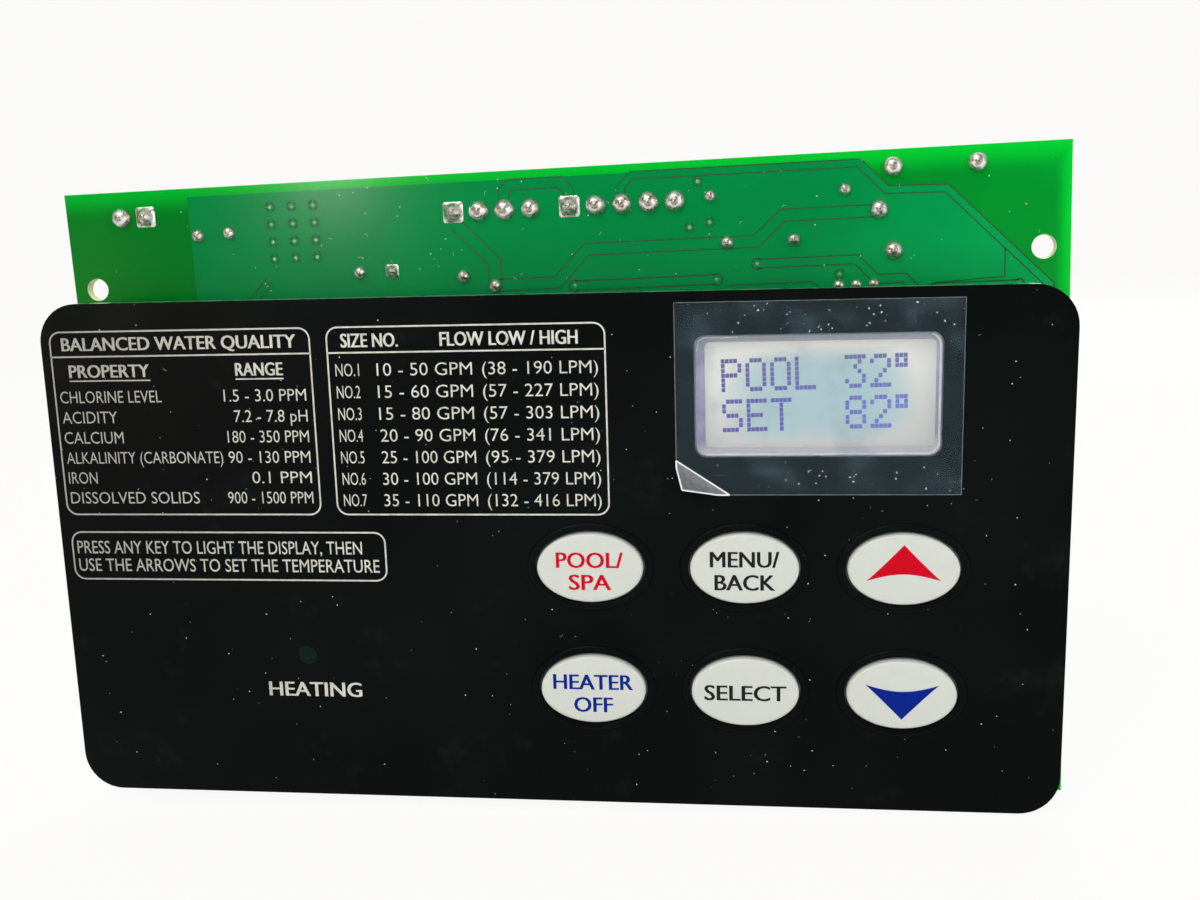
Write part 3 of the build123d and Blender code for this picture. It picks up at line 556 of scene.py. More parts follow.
def repeat_tree():
    """Copies of a pattern at points, sized and turned by the points' own values, with a little chance."""
    tree, source = start_tree("repeat_pattern", [
        ("Pattern", "Object", None), ("Size", "Float", 1.0), ("Unevenness", "Float", 0.0),
        ("Seed", "Int", 7), ("Material", "Material", None)])
    size = node(tree, "GeometryNodeInputNamedAttribute", {"Name": "size"}, data_type="FLOAT_VECTOR")
    turn = node(tree, "GeometryNodeInputNamedAttribute", {"Name": "turn"}, data_type="FLOAT_VECTOR")
    low = calc(tree, "SUBTRACT", 1.0, source["Unevenness"])
    high = calc(tree, "ADD", 1.0, source["Unevenness"])
    chance = node(tree, "FunctionNodeRandomValue", data_type="FLOAT_VECTOR")
    for index, link in ((0, low), (1, high), (8, source["Seed"])):
        tree.links.new(link, chance.inputs[index])
    scale = node(tree, "ShaderNodeVectorMath", {0: size.outputs[0], 1: chance.outputs[0]},
                 operation="MULTIPLY")
    scale = node(tree, "ShaderNodeVectorMath", {0: scale.outputs[0]}, operation="SCALE")
    tree.links.new(source["Size"], scale.inputs["Scale"])
    pattern = node(tree, "GeometryNodeObjectInfo", {"Object": source["Pattern"]})
    turned = node(tree, "FunctionNodeEulerToRotation", {0: turn.outputs[0]})
    copies = node(tree, "GeometryNodeInstanceOnPoints", {
        "Points": source["Geometry"], "Instance": pattern.outputs["Geometry"],
        "Rotation": turned.outputs[0], "Scale": scale.outputs[0]})
    return end_tree(tree, source, copies.outputs[0])


def line_tree():
    """Flat lines of a given width and thickness along paths."""
    tree, source = start_tree("flat_lines", [
        ("Width", "Float", 0.0002), ("Thickness", "Float", 0.00002), ("Material", "Material", None)])
    path = node(tree, "GeometryNodeMeshToCurve", {"Mesh": source["Geometry"]})
    level = node(tree, "GeometryNodeSetCurveNormal", {"Curve": path.outputs[0]})
    level.mode = "FREE"
    level.inputs["Normal"].default_value = (0.0, -1.0, 0.0)
    section = node(tree, "GeometryNodeCurvePrimitiveQuadrilateral", {
        "Width": source["Thickness"], "Height": source["Width"]})
    skin = node(tree, "GeometryNodeCurveToMesh", {
        "Curve": level.outputs[0], "Profile Curve": section.outputs[0], "Fill Caps": True})
    return end_tree(tree, source, skin.outputs[0])


def dust_tree():
    """Specks scattered over faces, each turned and sized by chance."""
    tree, source = start_tree("scatter_specks", [
        ("Pattern", "Object", None), ("Density", "Float", 30000.0), ("Smallest", "Float", 0.3),
        ("Largest", "Float", 1.0), ("Seed", "Int", 3), ("Material", "Material", None)])
    points = node(tree, "GeometryNodeDistributePointsOnFaces", {
        "Mesh": source["Geometry"], "Density": source["Density"], "Seed": source["Seed"]})
    size = node(tree, "FunctionNodeRandomValue", data_type="FLOAT")
    tree.links.new(source["Smallest"], size.inputs[2])
    tree.links.new(source["Largest"], size.inputs[3])
    tree.links.new(source["Seed"], size.inputs[8])
    spin = node(tree, "FunctionNodeRandomValue", data_type="FLOAT_VECTOR")
    spin.inputs[0].default_value = (0.0, 0.0, 0.0)
    spin.inputs[1].default_value = (0.0, 6.28, 0.0)
    turned = node(tree, "FunctionNodeEulerToRotation", {0: spin.outputs[0]})
    pattern = node(tree, "GeometryNodeObjectInfo", {"Object": source["Pattern"]})
    copies = node(tree, "GeometryNodeInstanceOnPoints", {
        "Points": points.outputs[0], "Instance": pattern.outputs["Geometry"],
        "Rotation": turned.outputs[0], "Scale": size.outputs[1]})
    return end_tree(tree, source, copies.outputs[0])


def tree_named(name, maker):
    """A tree, made once."""
    return bpy.data.node_groups.get(name) or maker()


def run_tree(name, mesh, tree, inputs, material, replaced=()):
    """Run a tree on a mesh and keep the result as a plain piece."""
    holder = bpy.data.objects.new(name, mesh)
    bpy.context.scene.collection.objects.link(holder)
    modifier = holder.modifiers.new("Geometry", "NODES")
    modifier.node_group = tree
    values = dict(inputs, Material=material)
    for item in tree.interface.items_tree:
        if item.in_out == "INPUT" and item.name in values:
            modifier[item.identifier] = values[item.name]
    bpy.context.view_layer.update()
    result = bpy.data.meshes.new_from_object(holder.evaluated_get(bpy.context.evaluated_depsgraph_get()))
    holder.modifiers.remove(modifier)
    bpy.data.objects.remove(holder)
    if not result.polygons:
        raise RuntimeError(name + " came out empty")
    return place_piece(name, smooth(result), material, replaced=replaced)


def point_mesh(spots):
    """Points with their own size and turn: each spot is (place, size, turn)."""
    mesh = bpy.data.meshes.new("spots")
    mesh.from_pydata([spot[0] for spot in spots], [], [])
    for index, label in ((1, "size"), (2, "turn")):
        values = mesh.attributes.new(label, "FLOAT_VECTOR", "POINT")
        for item, spot in zip(values.data, spots):
            item.vector = spot[index]
    return mesh


def repeat(name, spots, pattern, material, unevenness=0.0, seed=7, replaced=()):
    """Copies of a pattern mesh at spots, as one piece."""
    holder = bpy.data.objects.new("pattern", pattern)
    bpy.context.scene.collection.objects.link(holder)
    piece = run_tree(name, point_mesh(spots), tree_named("repeat_pattern", repeat_tree),
                     {"Pattern": holder, "Size": 1.0, "Unevenness": unevenness, "Seed": seed},
                     material, replaced)
    bpy.data.objects.remove(holder)
    return piece


def draw_lines(name, routes, y, width, material, thickness=0.00002, matrix=LEVEL):
    """Flat lines along routes of x, z and, where it rises, height in millimetres, as one piece."""
    mesh = bpy.data.meshes.new(name)
    points, edges = [], []
    for route in routes:
        start = len(points)
        points += [matrix @ Vector((spot[0] * MM, y - sum(spot[2:]) * MM, spot[1] * MM)) for spot in route]
        edges += [(start + i, start + i + 1) for i in range(len(route) - 1)]
    mesh.from_pydata(points, edges, [])
    return run_tree(name, mesh, tree_named("flat_lines", line_tree),
                    {"Width": width * MM, "Thickness": thickness}, material)


def turned_pattern(name, profile, count=14, square=0.0):
    """A pattern turned about -Y from a profile of radius and height; square blends in square sides."""
    rings = []
    for radius, height, squareness in profile:
        ring = []
        for i in range(count):
            angle = 2 * math.pi * (i + 0.5) / count
            c, s = math.cos(angle), math.sin(angle)
            grow = 1 + squareness * square * (1 / max(abs(c), abs(s)) - 1)
            ring.append(Vector((radius * c * grow * MM, -height * MM, radius * s * grow * MM)))
        rings.append(ring)
    mesh = closed_mesh(name, rings)
    top = max(height for radius, height, squareness in profile) * MM
    tip = mesh.attributes.new("tip", "FLOAT", "POINT")
    for item, vertex in zip(tip.data, mesh.vertices):
        item.value = max(0.0, -vertex.co.y / top - 0.86) / 0.14
    return mesh


# ---- the board ----

HEADER_Z = 45.07
HEADER_FIRST = -14.1
HEADER_STEP = 3.96
HEADER_GAP = 5.94
SIGNAL_PINS = [HEADER_FIRST + HEADER_STEP * i for i in range(4)]
SIGNAL_PINS += [SIGNAL_PINS[3] + HEADER_GAP + HEADER_STEP * i for i in range(5)]
VIA_GRID = [(x, z) for x in (-42.85, -39.4, -35.95) for z in (47.3, 44.65, 42.0, 39.4)]
RELIEF_VIAS = VIA_GRID + [(21.6, 41.1), (24.6, 41.7), (23.0, 47.7), (43.4, 33.25)]
POUR_LEFT = -56.1
POUR_TOP = 49.5
POUR_RIGHT = 67.0
POUR_LOW = -46.6
COPPER_RISE = 0.03 * MM
GROOVE_RISE = 0.035 * MM
SILK_RISE = 0.045 * MM
# Each track is its half width and its route.
TRACKS = [
    (0.95, [(-14.1, 43.6), (-8.2, 37.4), (-8.2, 33.85)]),
    (0.87, [(-8.2, 33.85), (1.3, 33.85), (6.0, 38.6), (31.3, 38.6), (35.3, 42.2), (49.2, 42.2)]),
    (0.78, [(-6.2, 45.1), (-6.2, 47.7), (-5.2, 48.7), (2.5, 48.7), (3.7, 47.3), (3.7, 45.1)]),
    (0.55, [(11.6, 45.1), (11.6, 47.5), (13.2, 49.1), (46.4, 49.1), (50.3, 45.1), (58.8, 44.9),
            (73.4, 30.4), (73.4, -20.0)]),
    (0.70, [(4.0, 33.25), (25.35, 33.25)]),
    (0.65, [(31.4, 35.3), (45.9, 35.3), (48.7, 32.3), (52.7, 32.3), (55.0, 30.0), (55.0, 8.0)]),
    (0.60, [(27.0, 31.7), (39.2, 31.7), (41.0, 30.0), (41.0, 12.0)]),
    (0.60, [(69.0, 30.7), (57.0, 30.7), (56.4, 30.0), (56.4, 10.0)]),
    (0.60, [(-39.6, -21.5), (-39.6, -30.0), (-30.0, -39.0), (40.0, -39.0)]),
    (0.60, [(2.2, -5.8), (-6.0, -5.8), (-14.0, 2.0), (-14.0, 24.0)]),
    (0.60, [(2.2, -24.8), (-4.0, -24.8), (-18.0, -12.0), (-18.0, 20.0)]),
    (0.60, [(-50.0, 25.0), (-50.0, 30.0), (-44.0, 36.0)]),
]
REAR_TRACKS = [
    (0.60, [(-14.1, 45.1), (-14.1, 26.0), (-20.0, 20.0), (-20.0, 4.0)]),
    (0.60, [(-10.1, 45.1), (-10.1, 24.0), (-16.5, 17.6), (-16.5, 4.0)]),
    (0.60, [(7.7, 45.1), (7.7, 22.0), (2.0, 16.0), (2.0, 4.0), (-6.0, -4.0), (-14.0, -4.0)]),
    (0.90, [(63.1, 48.4), (70.0, 41.5), (70.0, -12.0), (60.0, -22.0), (30.0, -22.0)]),
    (0.90, [(-67.1, 46.8), (-67.1, 30.0), (-62.0, 25.0), (-62.0, 19.0)]),
    (0.60, [(-59.9, -4.0), (-59.9, -20.0), (-50.0, -30.0), (2.0, -30.0)]),
    (0.60, [(15.6, 45.1), (15.6, 20.0), (15.6, 14.0)]),
    (0.60, [(25.9, -2.8), (20.0, -2.8), (12.0, 5.0)]),
    (0.60, [(48.4, 31.6), (48.4, 22.0), (56.0, 14.0), (56.0, -34.0)]),
]


def offset_route(route, distance):
    """A route moved sideways, with mitred corners."""
    points = [Vector((x, z)) for x, z in route]
    moved = []
    for i, point in enumerate(points):
        before = (point - points[i - 1]).normalized() if i else (points[1] - point).normalized()
        after = (points[i + 1] - point).normalized() if i + 1 < len(points) else before
        side = Vector((-(before + after).y, (before + after).x)).normalized()
        normal = Vector((-before.y, before.x))
        step = distance / max(0.4, side.dot(normal))
        moved.append((point.x + side.x * step, point.y + side.y * step))
    return moved


TRACK_VIAS = [(4.0, 33.25), (25.35, 33.25), (31.4, 35.3), (69.0, 30.7), (-14.0, 24.0), (-18.0, 20.0),
              (40.0, -39.0), (41.0, 12.0), (55.0, 8.0)]


def track_edges(route, half):
    """The two edges of a track, with a round end at each via."""
    edges = [offset_route(route, half), offset_route(route, -half)]
    for end, other in ((0, 1), (-1, -2)):
        x, z = route[end]
        if (x, z) in TRACK_VIAS:
            back = math.atan2(z - route[other][1], x - route[other][0])
            radius = half * 1.25
            edges.append([(x + radius * math.cos(back + a), z + radius * math.sin(back + a))
                          for a in (math.radians(step) for step in range(-128, 129, 16))])
    return edges


# A solder joint's outline with its lead's tip: radius, height and squareness of each ring.
PAD_JOINT = [(1.0, 0.0, 1.0), (1.0, 0.03, 1.0), (0.97, 0.05, 1.0), (0.90, 0.10, 0.8), (0.80, 0.28, 0.3),
             (0.69, 0.50, 0.0), (0.56, 0.70, 0.0), (0.44, 0.84, 0.0), (0.35, 0.92, 0.0), (0.30, 1.0, 0.0),
             (0.22, 1.06, 0.0), (0.08, 1.09, 0.0)]
ROUND_JOINT = [(1.0, 0.0, 0), (1.0, 0.03, 0), (0.99, 0.12, 0), (0.94, 0.32, 0), (0.84, 0.54, 0),
               (0.68, 0.74, 0), (0.50, 0.87, 0), (0.36, 0.93, 0), (0.31, 1.0, 0), (0.24, 1.06, 0),
               (0.08, 1.09, 0)]


def cad_joints():
    """Centre, radius and side of each solder cone in the frame, from its separate shells."""
    source = bmesh.new()
    source.from_mesh(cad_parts["solder_joints"].data)
    bmesh.ops.remove_doubles(source, verts=source.verts, dist=1e-6)
    source.verts.ensure_lookup_table()
    seen, found = set(), []
    for vert in source.verts:
        if vert.index in seen:
            continue
        stack, shell = [vert], []
        seen.add(vert.index)
        while stack:
            current = stack.pop()
            shell.append(current.co.copy())
            for edge in current.link_edges:
                other = edge.other_vert(current)
                if other.index not in seen:
                    seen.add(other.index)
                    stack.append(other)
        low = Vector([min(c[i] for c in shell) for i in range(3)])
        high = Vector([max(c[i] for c in shell) for i in range(3)])
        found.append((low, high))
    source.free()
    return sorted(found, key=lambda pair: (round(pair[0].x, 5), round(pair[0].z, 5), round(pair[0].y, 5)))


class PANEL_OT_board(bpy.types.Operator):
    """Solder mask, copper pour, tracks, vias and silk lines of the main board"""
    bl_idname = "panel.board"
    bl_label = "Main board"

    def execute(self, context):
        look = colours()
        bare = mask_finish("solder_mask", look.mask, look.mask_painted_edge_glow)
        copper = mask_finish("solder_mask_over_copper", look.copper_mask)
        groove = finish("track_groove", shade(look.copper_mask, 0.30), 0.6, tone=0.2)
        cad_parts["main_board"].data.materials.clear()
        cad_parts["main_board"].data.materials.append(bare)
        outer = TRACKS[3][1]
        edge = offset_route(outer[2:7], TRACKS[3][0])
        pour = [(POUR_LEFT, POUR_LOW), (POUR_LEFT, POUR_TOP), (12.0, POUR_TOP), *edge,
                (outer[6][0] + 0.5, POUR_LOW)]
        sheet = flat_shape("copper_pour", [pour], BOARD_FRONT - COPPER_RISE, BOARD_FRONT, matrix=LEVEL)
        place_piece("copper_pour", sheet, copper)
        routes = []
        for half, route in TRACKS:
            routes += track_edges(route, half)
        routes.append([(POUR_RIGHT, 36.0), (POUR_RIGHT, 31.9), (57.2, 31.4), (56.3, 30.8)])
        draw_lines("track_grooves", routes, BOARD_FRONT - GROOVE_RISE, 0.20, groove)
        rear = [(-74.7, POUR_LOW), (-74.7, POUR_TOP), (74.7, POUR_TOP), (74.7, POUR_LOW)]
        holes = [[(hx * BOARD_SCREW.x + x, hz * BOARD_SCREW.y + z) for x, z in oval(3.6, 3.6, 24)]
                 for hx in (-1, 1) for hz in (-1, 1)]
        sheet = flat_shape("copper_pour_rear", [rear, *holes], BOARD_REAR, BOARD_REAR + COPPER_RISE,
                           matrix=LEVEL)
        place_piece("copper_pour_rear", sheet, copper)
        routes = []
        for half, route in REAR_TRACKS:
            routes += track_edges(route, half)
        draw_lines("track_grooves_rear", routes, BOARD_REAR + GROOVE_RISE, 0.15, groove)
        self.hole_rims()
        self.vias(groove)
        self.silk()
        return {"FINISHED"}

    def hole_rims(self):
        """The cut glass fibre round the four mounting holes."""
        fibre = finish("cut_fibre", (0.70, 0.74, 0.42), 0.7, tone=0.35, patch=1500.0, grain=3000.0)
        rims = []
        for x in (-BOARD_SCREW.x, BOARD_SCREW.x):
            for z in (-BOARD_SCREW.y, BOARD_SCREW.y):
                rings = [ring_at(oval(radius, radius, 32), x, y, z, LEVEL) for radius, y in (
                    (MOUNT_HOLE, BOARD_FRONT), (MOUNT_HOLE, BOARD_REAR), (MOUNT_HOLE - 0.04, BOARD_REAR),
                    (MOUNT_HOLE - 0.06, (BOARD_FRONT + BOARD_REAR) / 2), (MOUNT_HOLE - 0.04, BOARD_FRONT))]
                rims.append(closed_mesh("rim", rings, loop=True))
        place_piece("mount_hole_rims", smooth(join_meshes("mount_hole_rims", rims)), fibre)

    def vias(self, groove):
        """Thermal-relief vias in the pour, and plain vias at the tracks' ends."""
        arcs = []
        for quarter in range(4):
            outline = [(0.80 * math.cos(math.radians(a)), 0.80 * math.sin(math.radians(a)))
                       for a in range(90 * quarter + 12, 90 * quarter + 79, 13)]
            inner = [(0.54 * math.cos(math.radians(a)), 0.54 * math.sin(math.radians(a)))
                     for a in range(90 * quarter + 77, 90 * quarter + 11, -13)]
            arcs.append([Vector((x * MM, y * MM, z * MM)) for y in (0.0, -0.03) for x, z in outline + inner])
        rings = []
        for arc in arcs:
            half = len(arc) // 2
            rings.append(closed_mesh("arc", [arc[:half], arc[half:]]))
        pattern = join_meshes("via_relief", rings)
        front = [(Vector((x * MM, BOARD_FRONT - COPPER_RISE, z * MM)), UNIT, NO_TURN) for x, z in RELIEF_VIAS]
        repeat("via_reliefs", front, pattern, groove)
        tin = finish("via_tin", (0.22, 0.42, 0.26), 0.3, metallic=0.6, tone=0.5, patch=1500.0)
        dot = turned_pattern("via_dot", [(0.26, 0.0, 0), (0.26, 0.03, 0), (0.20, 0.05, 0),
                                         (0.10, 0.035, 0)], 12)
        spots = [(Vector((x * MM, BOARD_FRONT - COPPER_RISE, z * MM)), UNIT, NO_TURN)
                 for x, z in RELIEF_VIAS + TRACK_VIAS]
        rear = [(Vector((x * MM, BOARD_REAR + COPPER_RISE, z * MM)), UNIT, TO_REAR)
                for x, z in RELIEF_VIAS[12:] + TRACK_VIAS]
        repeat("via_barrels", spots + rear, dot, tin, 0.08, 5)

    def silk(self):
        """White silk outlines round the parts behind the board."""
        ink = finish("silk_ink", (0.78, 0.79, 0.74), 0.6, tone=0.06)
        routes = []

        def box(x, z, width, height):
            w, h = width / 2, height / 2
            routes.append([(x - w, z - h), (x + w, z - h), (x + w, z + h), (x - w, z + h), (x - w, z - h)])

        for name, margin in (("regulator", 0.5), ("processor", 0.6), ("crystal", 0.6),
                             ("setting_switch", 0.5),
                             ("contrast_trimmer", 0.5), ("display_header", 0.5)):
            low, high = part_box(name)
            centre = (low + high) / 2 / MM
            box(centre.x, centre.z, (high.x - low.x) / MM + 2 * margin, (high.z - low.z) / MM + 2 * margin)
        for common_x, z in RELAYS:
            box(common_x + RELAY_MIDDLE, z, 20.0, 15.8)
        for x, z, radius, length in CAPACITORS:
            routes.append([(x + px, z + pz) for px, pz in oval(radius + 0.5, radius + 0.5, 24)])
            routes[-1].append(routes[-1][0])
        draw_lines("silk_outlines", routes, BOARD_REAR + SILK_RISE, 0.2, ink)


BOARD_SCREW = Vector((72.45, 35.9))
MOUNT_HOLE = 1.75
RELAYS = [(49.2, 42.4), (-62.0, 19.0), (-62.0, 2.0)]
RELAY_MIDDLE = 7.1
CAPACITORS = [(-52.3, 43.6, 5, 16), (-26.8, 36.7, 4, 11.5), (-10.7, 34.6, 4, 11.5)]


class PANEL_OT_solder(bpy.types.Operator):
    """Solder joints with their lead tips, on both faces of the board and on the display's board"""
    bl_idname = "panel.solder"
    bl_label = "Solder joints"

    def execute(self, context):
        tin = solder_finish()
        cones, domes, squares = [], [], []
        square_pads = [(-63.14, 46.8), (HEADER_FIRST, HEADER_Z), (SIGNAL_PINS[4], HEADER_Z), (-24.25, 36.7)]
        for low, high in cad_joints():
            centre = (low + high) / 2
            radius = (high.x - low.x) / 2 / MM
            rear = low.y > BOARD_REAR - 0.1 * MM
            y = low.y if rear else high.y
            place = Vector((centre.x, y, centre.z))
            turn = Vector((math.pi if rear else 0.0, (centre.x * 7000 + centre.z * 3000) % 6.28, 0.0))
            height = (high.y - low.y) / MM
            size = Vector((radius, height, radius))
            x, z = centre.x / MM, centre.z / MM
            if any(math.hypot(x - px, z - pz) < 0.6 for px, pz in square_pads) and not rear:
                squares.append((place, size, NO_TURN))
            elif rear:
                cones.append((place, size, turn))
            else:
                domes.append((place, size, turn))
        repeat("solder_domes", domes, turned_pattern("dome", ROUND_JOINT, 18), tin, 0.05, 11,
               replaced=("solder_joints",))
        repeat("solder_cones", cones, turned_pattern("cone", PAD_JOINT, 14), tin, 0.05, 12)
        repeat("solder_squares", squares, turned_pattern("square", PAD_JOINT, 32, 1.0), tin,
               0.0, 13)
        return {"FINISHED"}


# ---- the keypad ----


def key_centre(row, column):
    """A key's centre in keypad millimetres."""
    return column * PITCH_X / MM, -row * PITCH_Z / MM


class PANEL_OT_keypad_film(bpy.types.Operator):
    """Printed film with its openings, and an embossed ring round each key"""
    bl_idname = "panel.keypad_film"
    bl_label = "Keypad film"

    def execute(self, context):
        size = sizes()
        black = film_finish()
        x = size.keypad_width / 2 - size.keypad_left
        z = size.keypad_top - size.keypad_height / 2
        outline = [(px + x, pz + z) for px, pz in rounded(size.keypad_width, size.keypad_height,
                                                         size.keypad_corner, 10)]
        window = [(px + size.window_x, pz + size.window_z)
                  for px, pz in rounded(size.window_width, size.window_height, size.window_corner)]
        light = middle("led_window")
        local = ON_KEYPAD.inverted() @ light
        lamp = [(px + local.x / MM, pz + local.z / MM) for px, pz in oval(1.56, 1.56, 32)]
        holes = [window, lamp]
        for row in range(2):
            for column in range(3):
                kx, kz = key_centre(row, column)
                holes.append([(px + kx, pz + kz) for px, pz in
                              oval(size.key_width / 2 + size.key_gap, size.key_height / 2 + size.key_gap,
                                   72)])
        mesh = flat_shape("keypad_film", [outline, *holes], KEYPAD_FACE, KEYPAD_FACE + FILM_THICKNESS,
                          0.04 * MM)
        place_piece("keypad_film", mesh, black, replaced=("graphic_overlay",))
        self.rings(black)
        return {"FINISHED"}

    def rings(self, black):
        """One embossed ring, repeated round each key."""
        size = sizes()
        a, b = size.key_width / 2 + size.key_gap, size.key_height / 2 + size.key_gap
        section = [(0.02, -0.02), (0.10, 0.12), (0.30, 0.20), (0.62, 0.30), (0.92, 0.30), (1.12, 0.20),
                   (1.24, 0.06), (1.30, -0.02)]
        rings = [[Vector((x * MM, -rise * MM, z * MM)) for x, z in oval(a + out, b + out, 72)]
                 for out, rise in section]
        pattern = closed_mesh("key_ring", rings, loop=True)
        spots = []
        for row in range(2):
            for column in range(3):
                kx, kz = key_centre(row, column)
                place = ON_KEYPAD @ Vector((kx * MM, KEYPAD_FACE, kz * MM))
                spots.append((place, UNIT, Vector((0, ROLL, 0))))
        repeat("key_rings", spots, pattern, black)


# ---- keys ----

ROUND_POINTS = 72


def key_surface(x, z, width, height, rise):
    """How far a key's face stands out at a point, from its nearly flat dome."""
    reach = math.hypot(x / (width / 2), z / (height / 2))
    return rise * (1.0 - 0.10 * min(1.0, reach) ** 2)


def arrow_shape(sign):
    """A triangle with an arched foot, in slices so that it can follow a domed face."""
    apex, side, foot, rise, across, up = 3.75, 5.3, -1.6, 1.0, 24, 6
    slices = []
    for i in range(across + 1):
        x = side * (2 * i / across - 1)
        share = max(0.004, 1 - abs(x) / side)
        low = foot + rise * math.sin(math.pi * i / across)
        high = foot + (apex - foot) * share ** 1.05
        high = max(high, low + 0.02)
        column = [(x, sign * (low + (high - low) * j / up)) for j in range(up + 1)]
        slices.append([Vector((px, pz, 0.01)) for px, pz in column]
                      + [Vector((px, pz, -0.01)) for px, pz in reversed(column)])
    return closed_mesh("arrow", slices)


def key_legend(name):
    """The printed legend of a key in its own millimetres, and its ink."""
    if name == "key_up" or name == "key_down":
        sign = 1 if name == "key_up" else -1
        return [arrow_shape(sign)], "legend_red" if sign > 0 else "legend_blue"
    words = {
        "key_pool_spa": ([("POOL/", -4.95, 4.95, 0.1), ("SPA", -3.1, 3.1, -3.3)], "legend_red"),
        "key_menu_back": ([("MENU/", -4.95, 5.0, 0.3), ("BACK", -4.3, 4.4, -3.2)], "legend_black"),
        "key_heater_off": ([("HEATER", -6.0, 6.0, 0.1), ("OFF", -2.9, 2.9, -3.5)], "legend_blue"),
        "key_select": ([("SELECT", -6.0, 6.0, -1.25)], "legend_black"),
    }
    lines, ink = words[name]
    return [lettering(text, left, right, base, 2.5, 0.09) for text, left, right, base in lines], ink


class PANEL_OT_keys(bpy.types.Operator):
    """Six domed oval keys with their legends, each on its own body"""
    bl_idname = "panel.keys"
    bl_label = "Keys"

    def execute(self, context):
        size = sizes()
        look = colours()
        cap = finish("key_cap_white", look.key, 0.36, tone=0.03, grain=5000.0, grain_depth=0.000006,
                     rough_spread=0.08, scuff=0.05, Subsurface_Weight=0.15, Subsurface_Scale=0.002)
        inks = {ink: finish(ink, getattr(look, ink), 0.5, tone=0.08, grain_depth=0.000004,
                            Specular_IOR_Level=0.08)
                for ink in ("legend_red", "legend_blue", "legend_black")}
        a, b, rise = size.key_width / 2, size.key_height / 2, size.key_rise
        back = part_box(KEY_GRID[0][0])[1].y
        flange_front = KEYPAD_FACE + FILM_THICKNESS + 2.15 * MM
        steps = [(0.0, rise * 0.62), (0.10, rise * 0.76), (0.28, rise * 0.87), (0.55, rise * 0.905),
                 (1.2, rise * 0.93), (2.4, rise * 0.965), (3.8, rise * 0.99), (5.0, rise)]
        for row, names in enumerate(KEY_GRID):
            for column, name in enumerate(names):
                kx, kz = key_centre(row, column)
                rings = [ring_at(oval(2.5, 2.5, ROUND_POINTS), kx, back, kz),
                         ring_at(oval(2.5, 2.5, ROUND_POINTS), kx, flange_front + 0.95 * MM, kz),
                         ring_at(oval(a + 1.3, b + 1.3, ROUND_POINTS), kx, flange_front + 0.95 * MM, kz),
                         ring_at(oval(a + 1.3, b + 1.3, ROUND_POINTS), kx, flange_front, kz),
                         ring_at(oval(a, b, ROUND_POINTS), kx, flange_front, kz)]
                for inset, height in steps:
                    rings.append(ring_at(oval(a - inset, b - inset * b / a * 1.25 if inset < 1 else
                                              (b - 0.2) * (1 - inset / a), ROUND_POINTS), kx,
                                         KEYPAD_FACE - height * MM, kz))
                place_piece(name + "_cap", smooth(closed_mesh(name, rings), 50.0), cap, name,
                            (name,))
                shapes, ink = key_legend(name)

                def surface(x, z, kx=kx, kz=kz):
                    return KEYPAD_FACE - key_surface(x, z, size.key_width, size.key_height, rise) * MM

                legend = lay_ink(name + "_legend", shapes, surface, size.ink * MM,
                                 ON_KEYPAD @ Matrix.Translation((kx * MM, 0, kz * MM)))
                place_piece(name + "_legend", legend, inks[ink], name)
        return {"FINISHED"}


# ---- printed tables ----

TABLE_LINE = 0.24
TABLE_ROUND = 1.8


def line_box(left, right, top, bottom):
    """A printed box line with round corners, as a flat millimetre mesh."""
    width, height = right - left, top - bottom
    x, z = (left + right) / 2, (top + bottom) / 2
    rings = []
    for inset, level in ((0, -0.01), (0, 0.01), (TABLE_LINE, 0.01), (TABLE_LINE, -0.01)):
        outline = rounded(width - 2 * inset, height - 2 * inset, TABLE_ROUND - inset)
        rings.append([Vector((px + x, pz + z, level)) for px, pz in outline])
    return closed_mesh("box_line", rings, loop=True)


def bar(left, right, z, thickness):
    """A straight printed line."""
    corners = [(left, z - thickness / 2), (right, z - thickness / 2), (right, z + thickness / 2),
               (left, z + thickness / 2)]
    return closed_mesh("bar", [[Vector((px, pz, level)) for px, pz in corners] for level in (-0.01, 0.01)])


CARE_ROWS = [
    ("CHLORINE LEVEL", -64.9, "1.5 - 3.0 PPM", -55.0), ("ACIDITY", -72.3, "7.2 - 7.8 pH", -53.6),
    ("CALCIUM", -71.6, "180 - 350 PPM", -54.9), ("ALKALINITY (CARBONATE)", -55.9, "90 - 130 PPM", -55.0),
    ("IRON", -76.5, "0.1 PPM", -51.5), ("DISSOLVED SOLIDS", -60.2, "900 - 1500 PPM", -55.6),
]
FLOW_ROWS = [("NO.1", "10 - 50 GPM", "(38 - 190 LPM)"), ("NO.2", "15 - 60 GPM", "(57 - 227 LPM)"),
             ("NO.3", "15 - 80 GPM", "(57 - 303 LPM)"), ("NO.4", "20 - 90 GPM", "(76 - 341 LPM)"),
             ("NO.5", "25 - 100 GPM", "(95 - 379 LPM)"), ("NO.6", "30 - 100 GPM", "(114 - 379 LPM)"),
             ("NO.7", "35 - 110 GPM", "(132 - 416 LPM)")]
ROW_PITCH_CARE = 3.15
ROW_PITCH_FLOW = 3.30


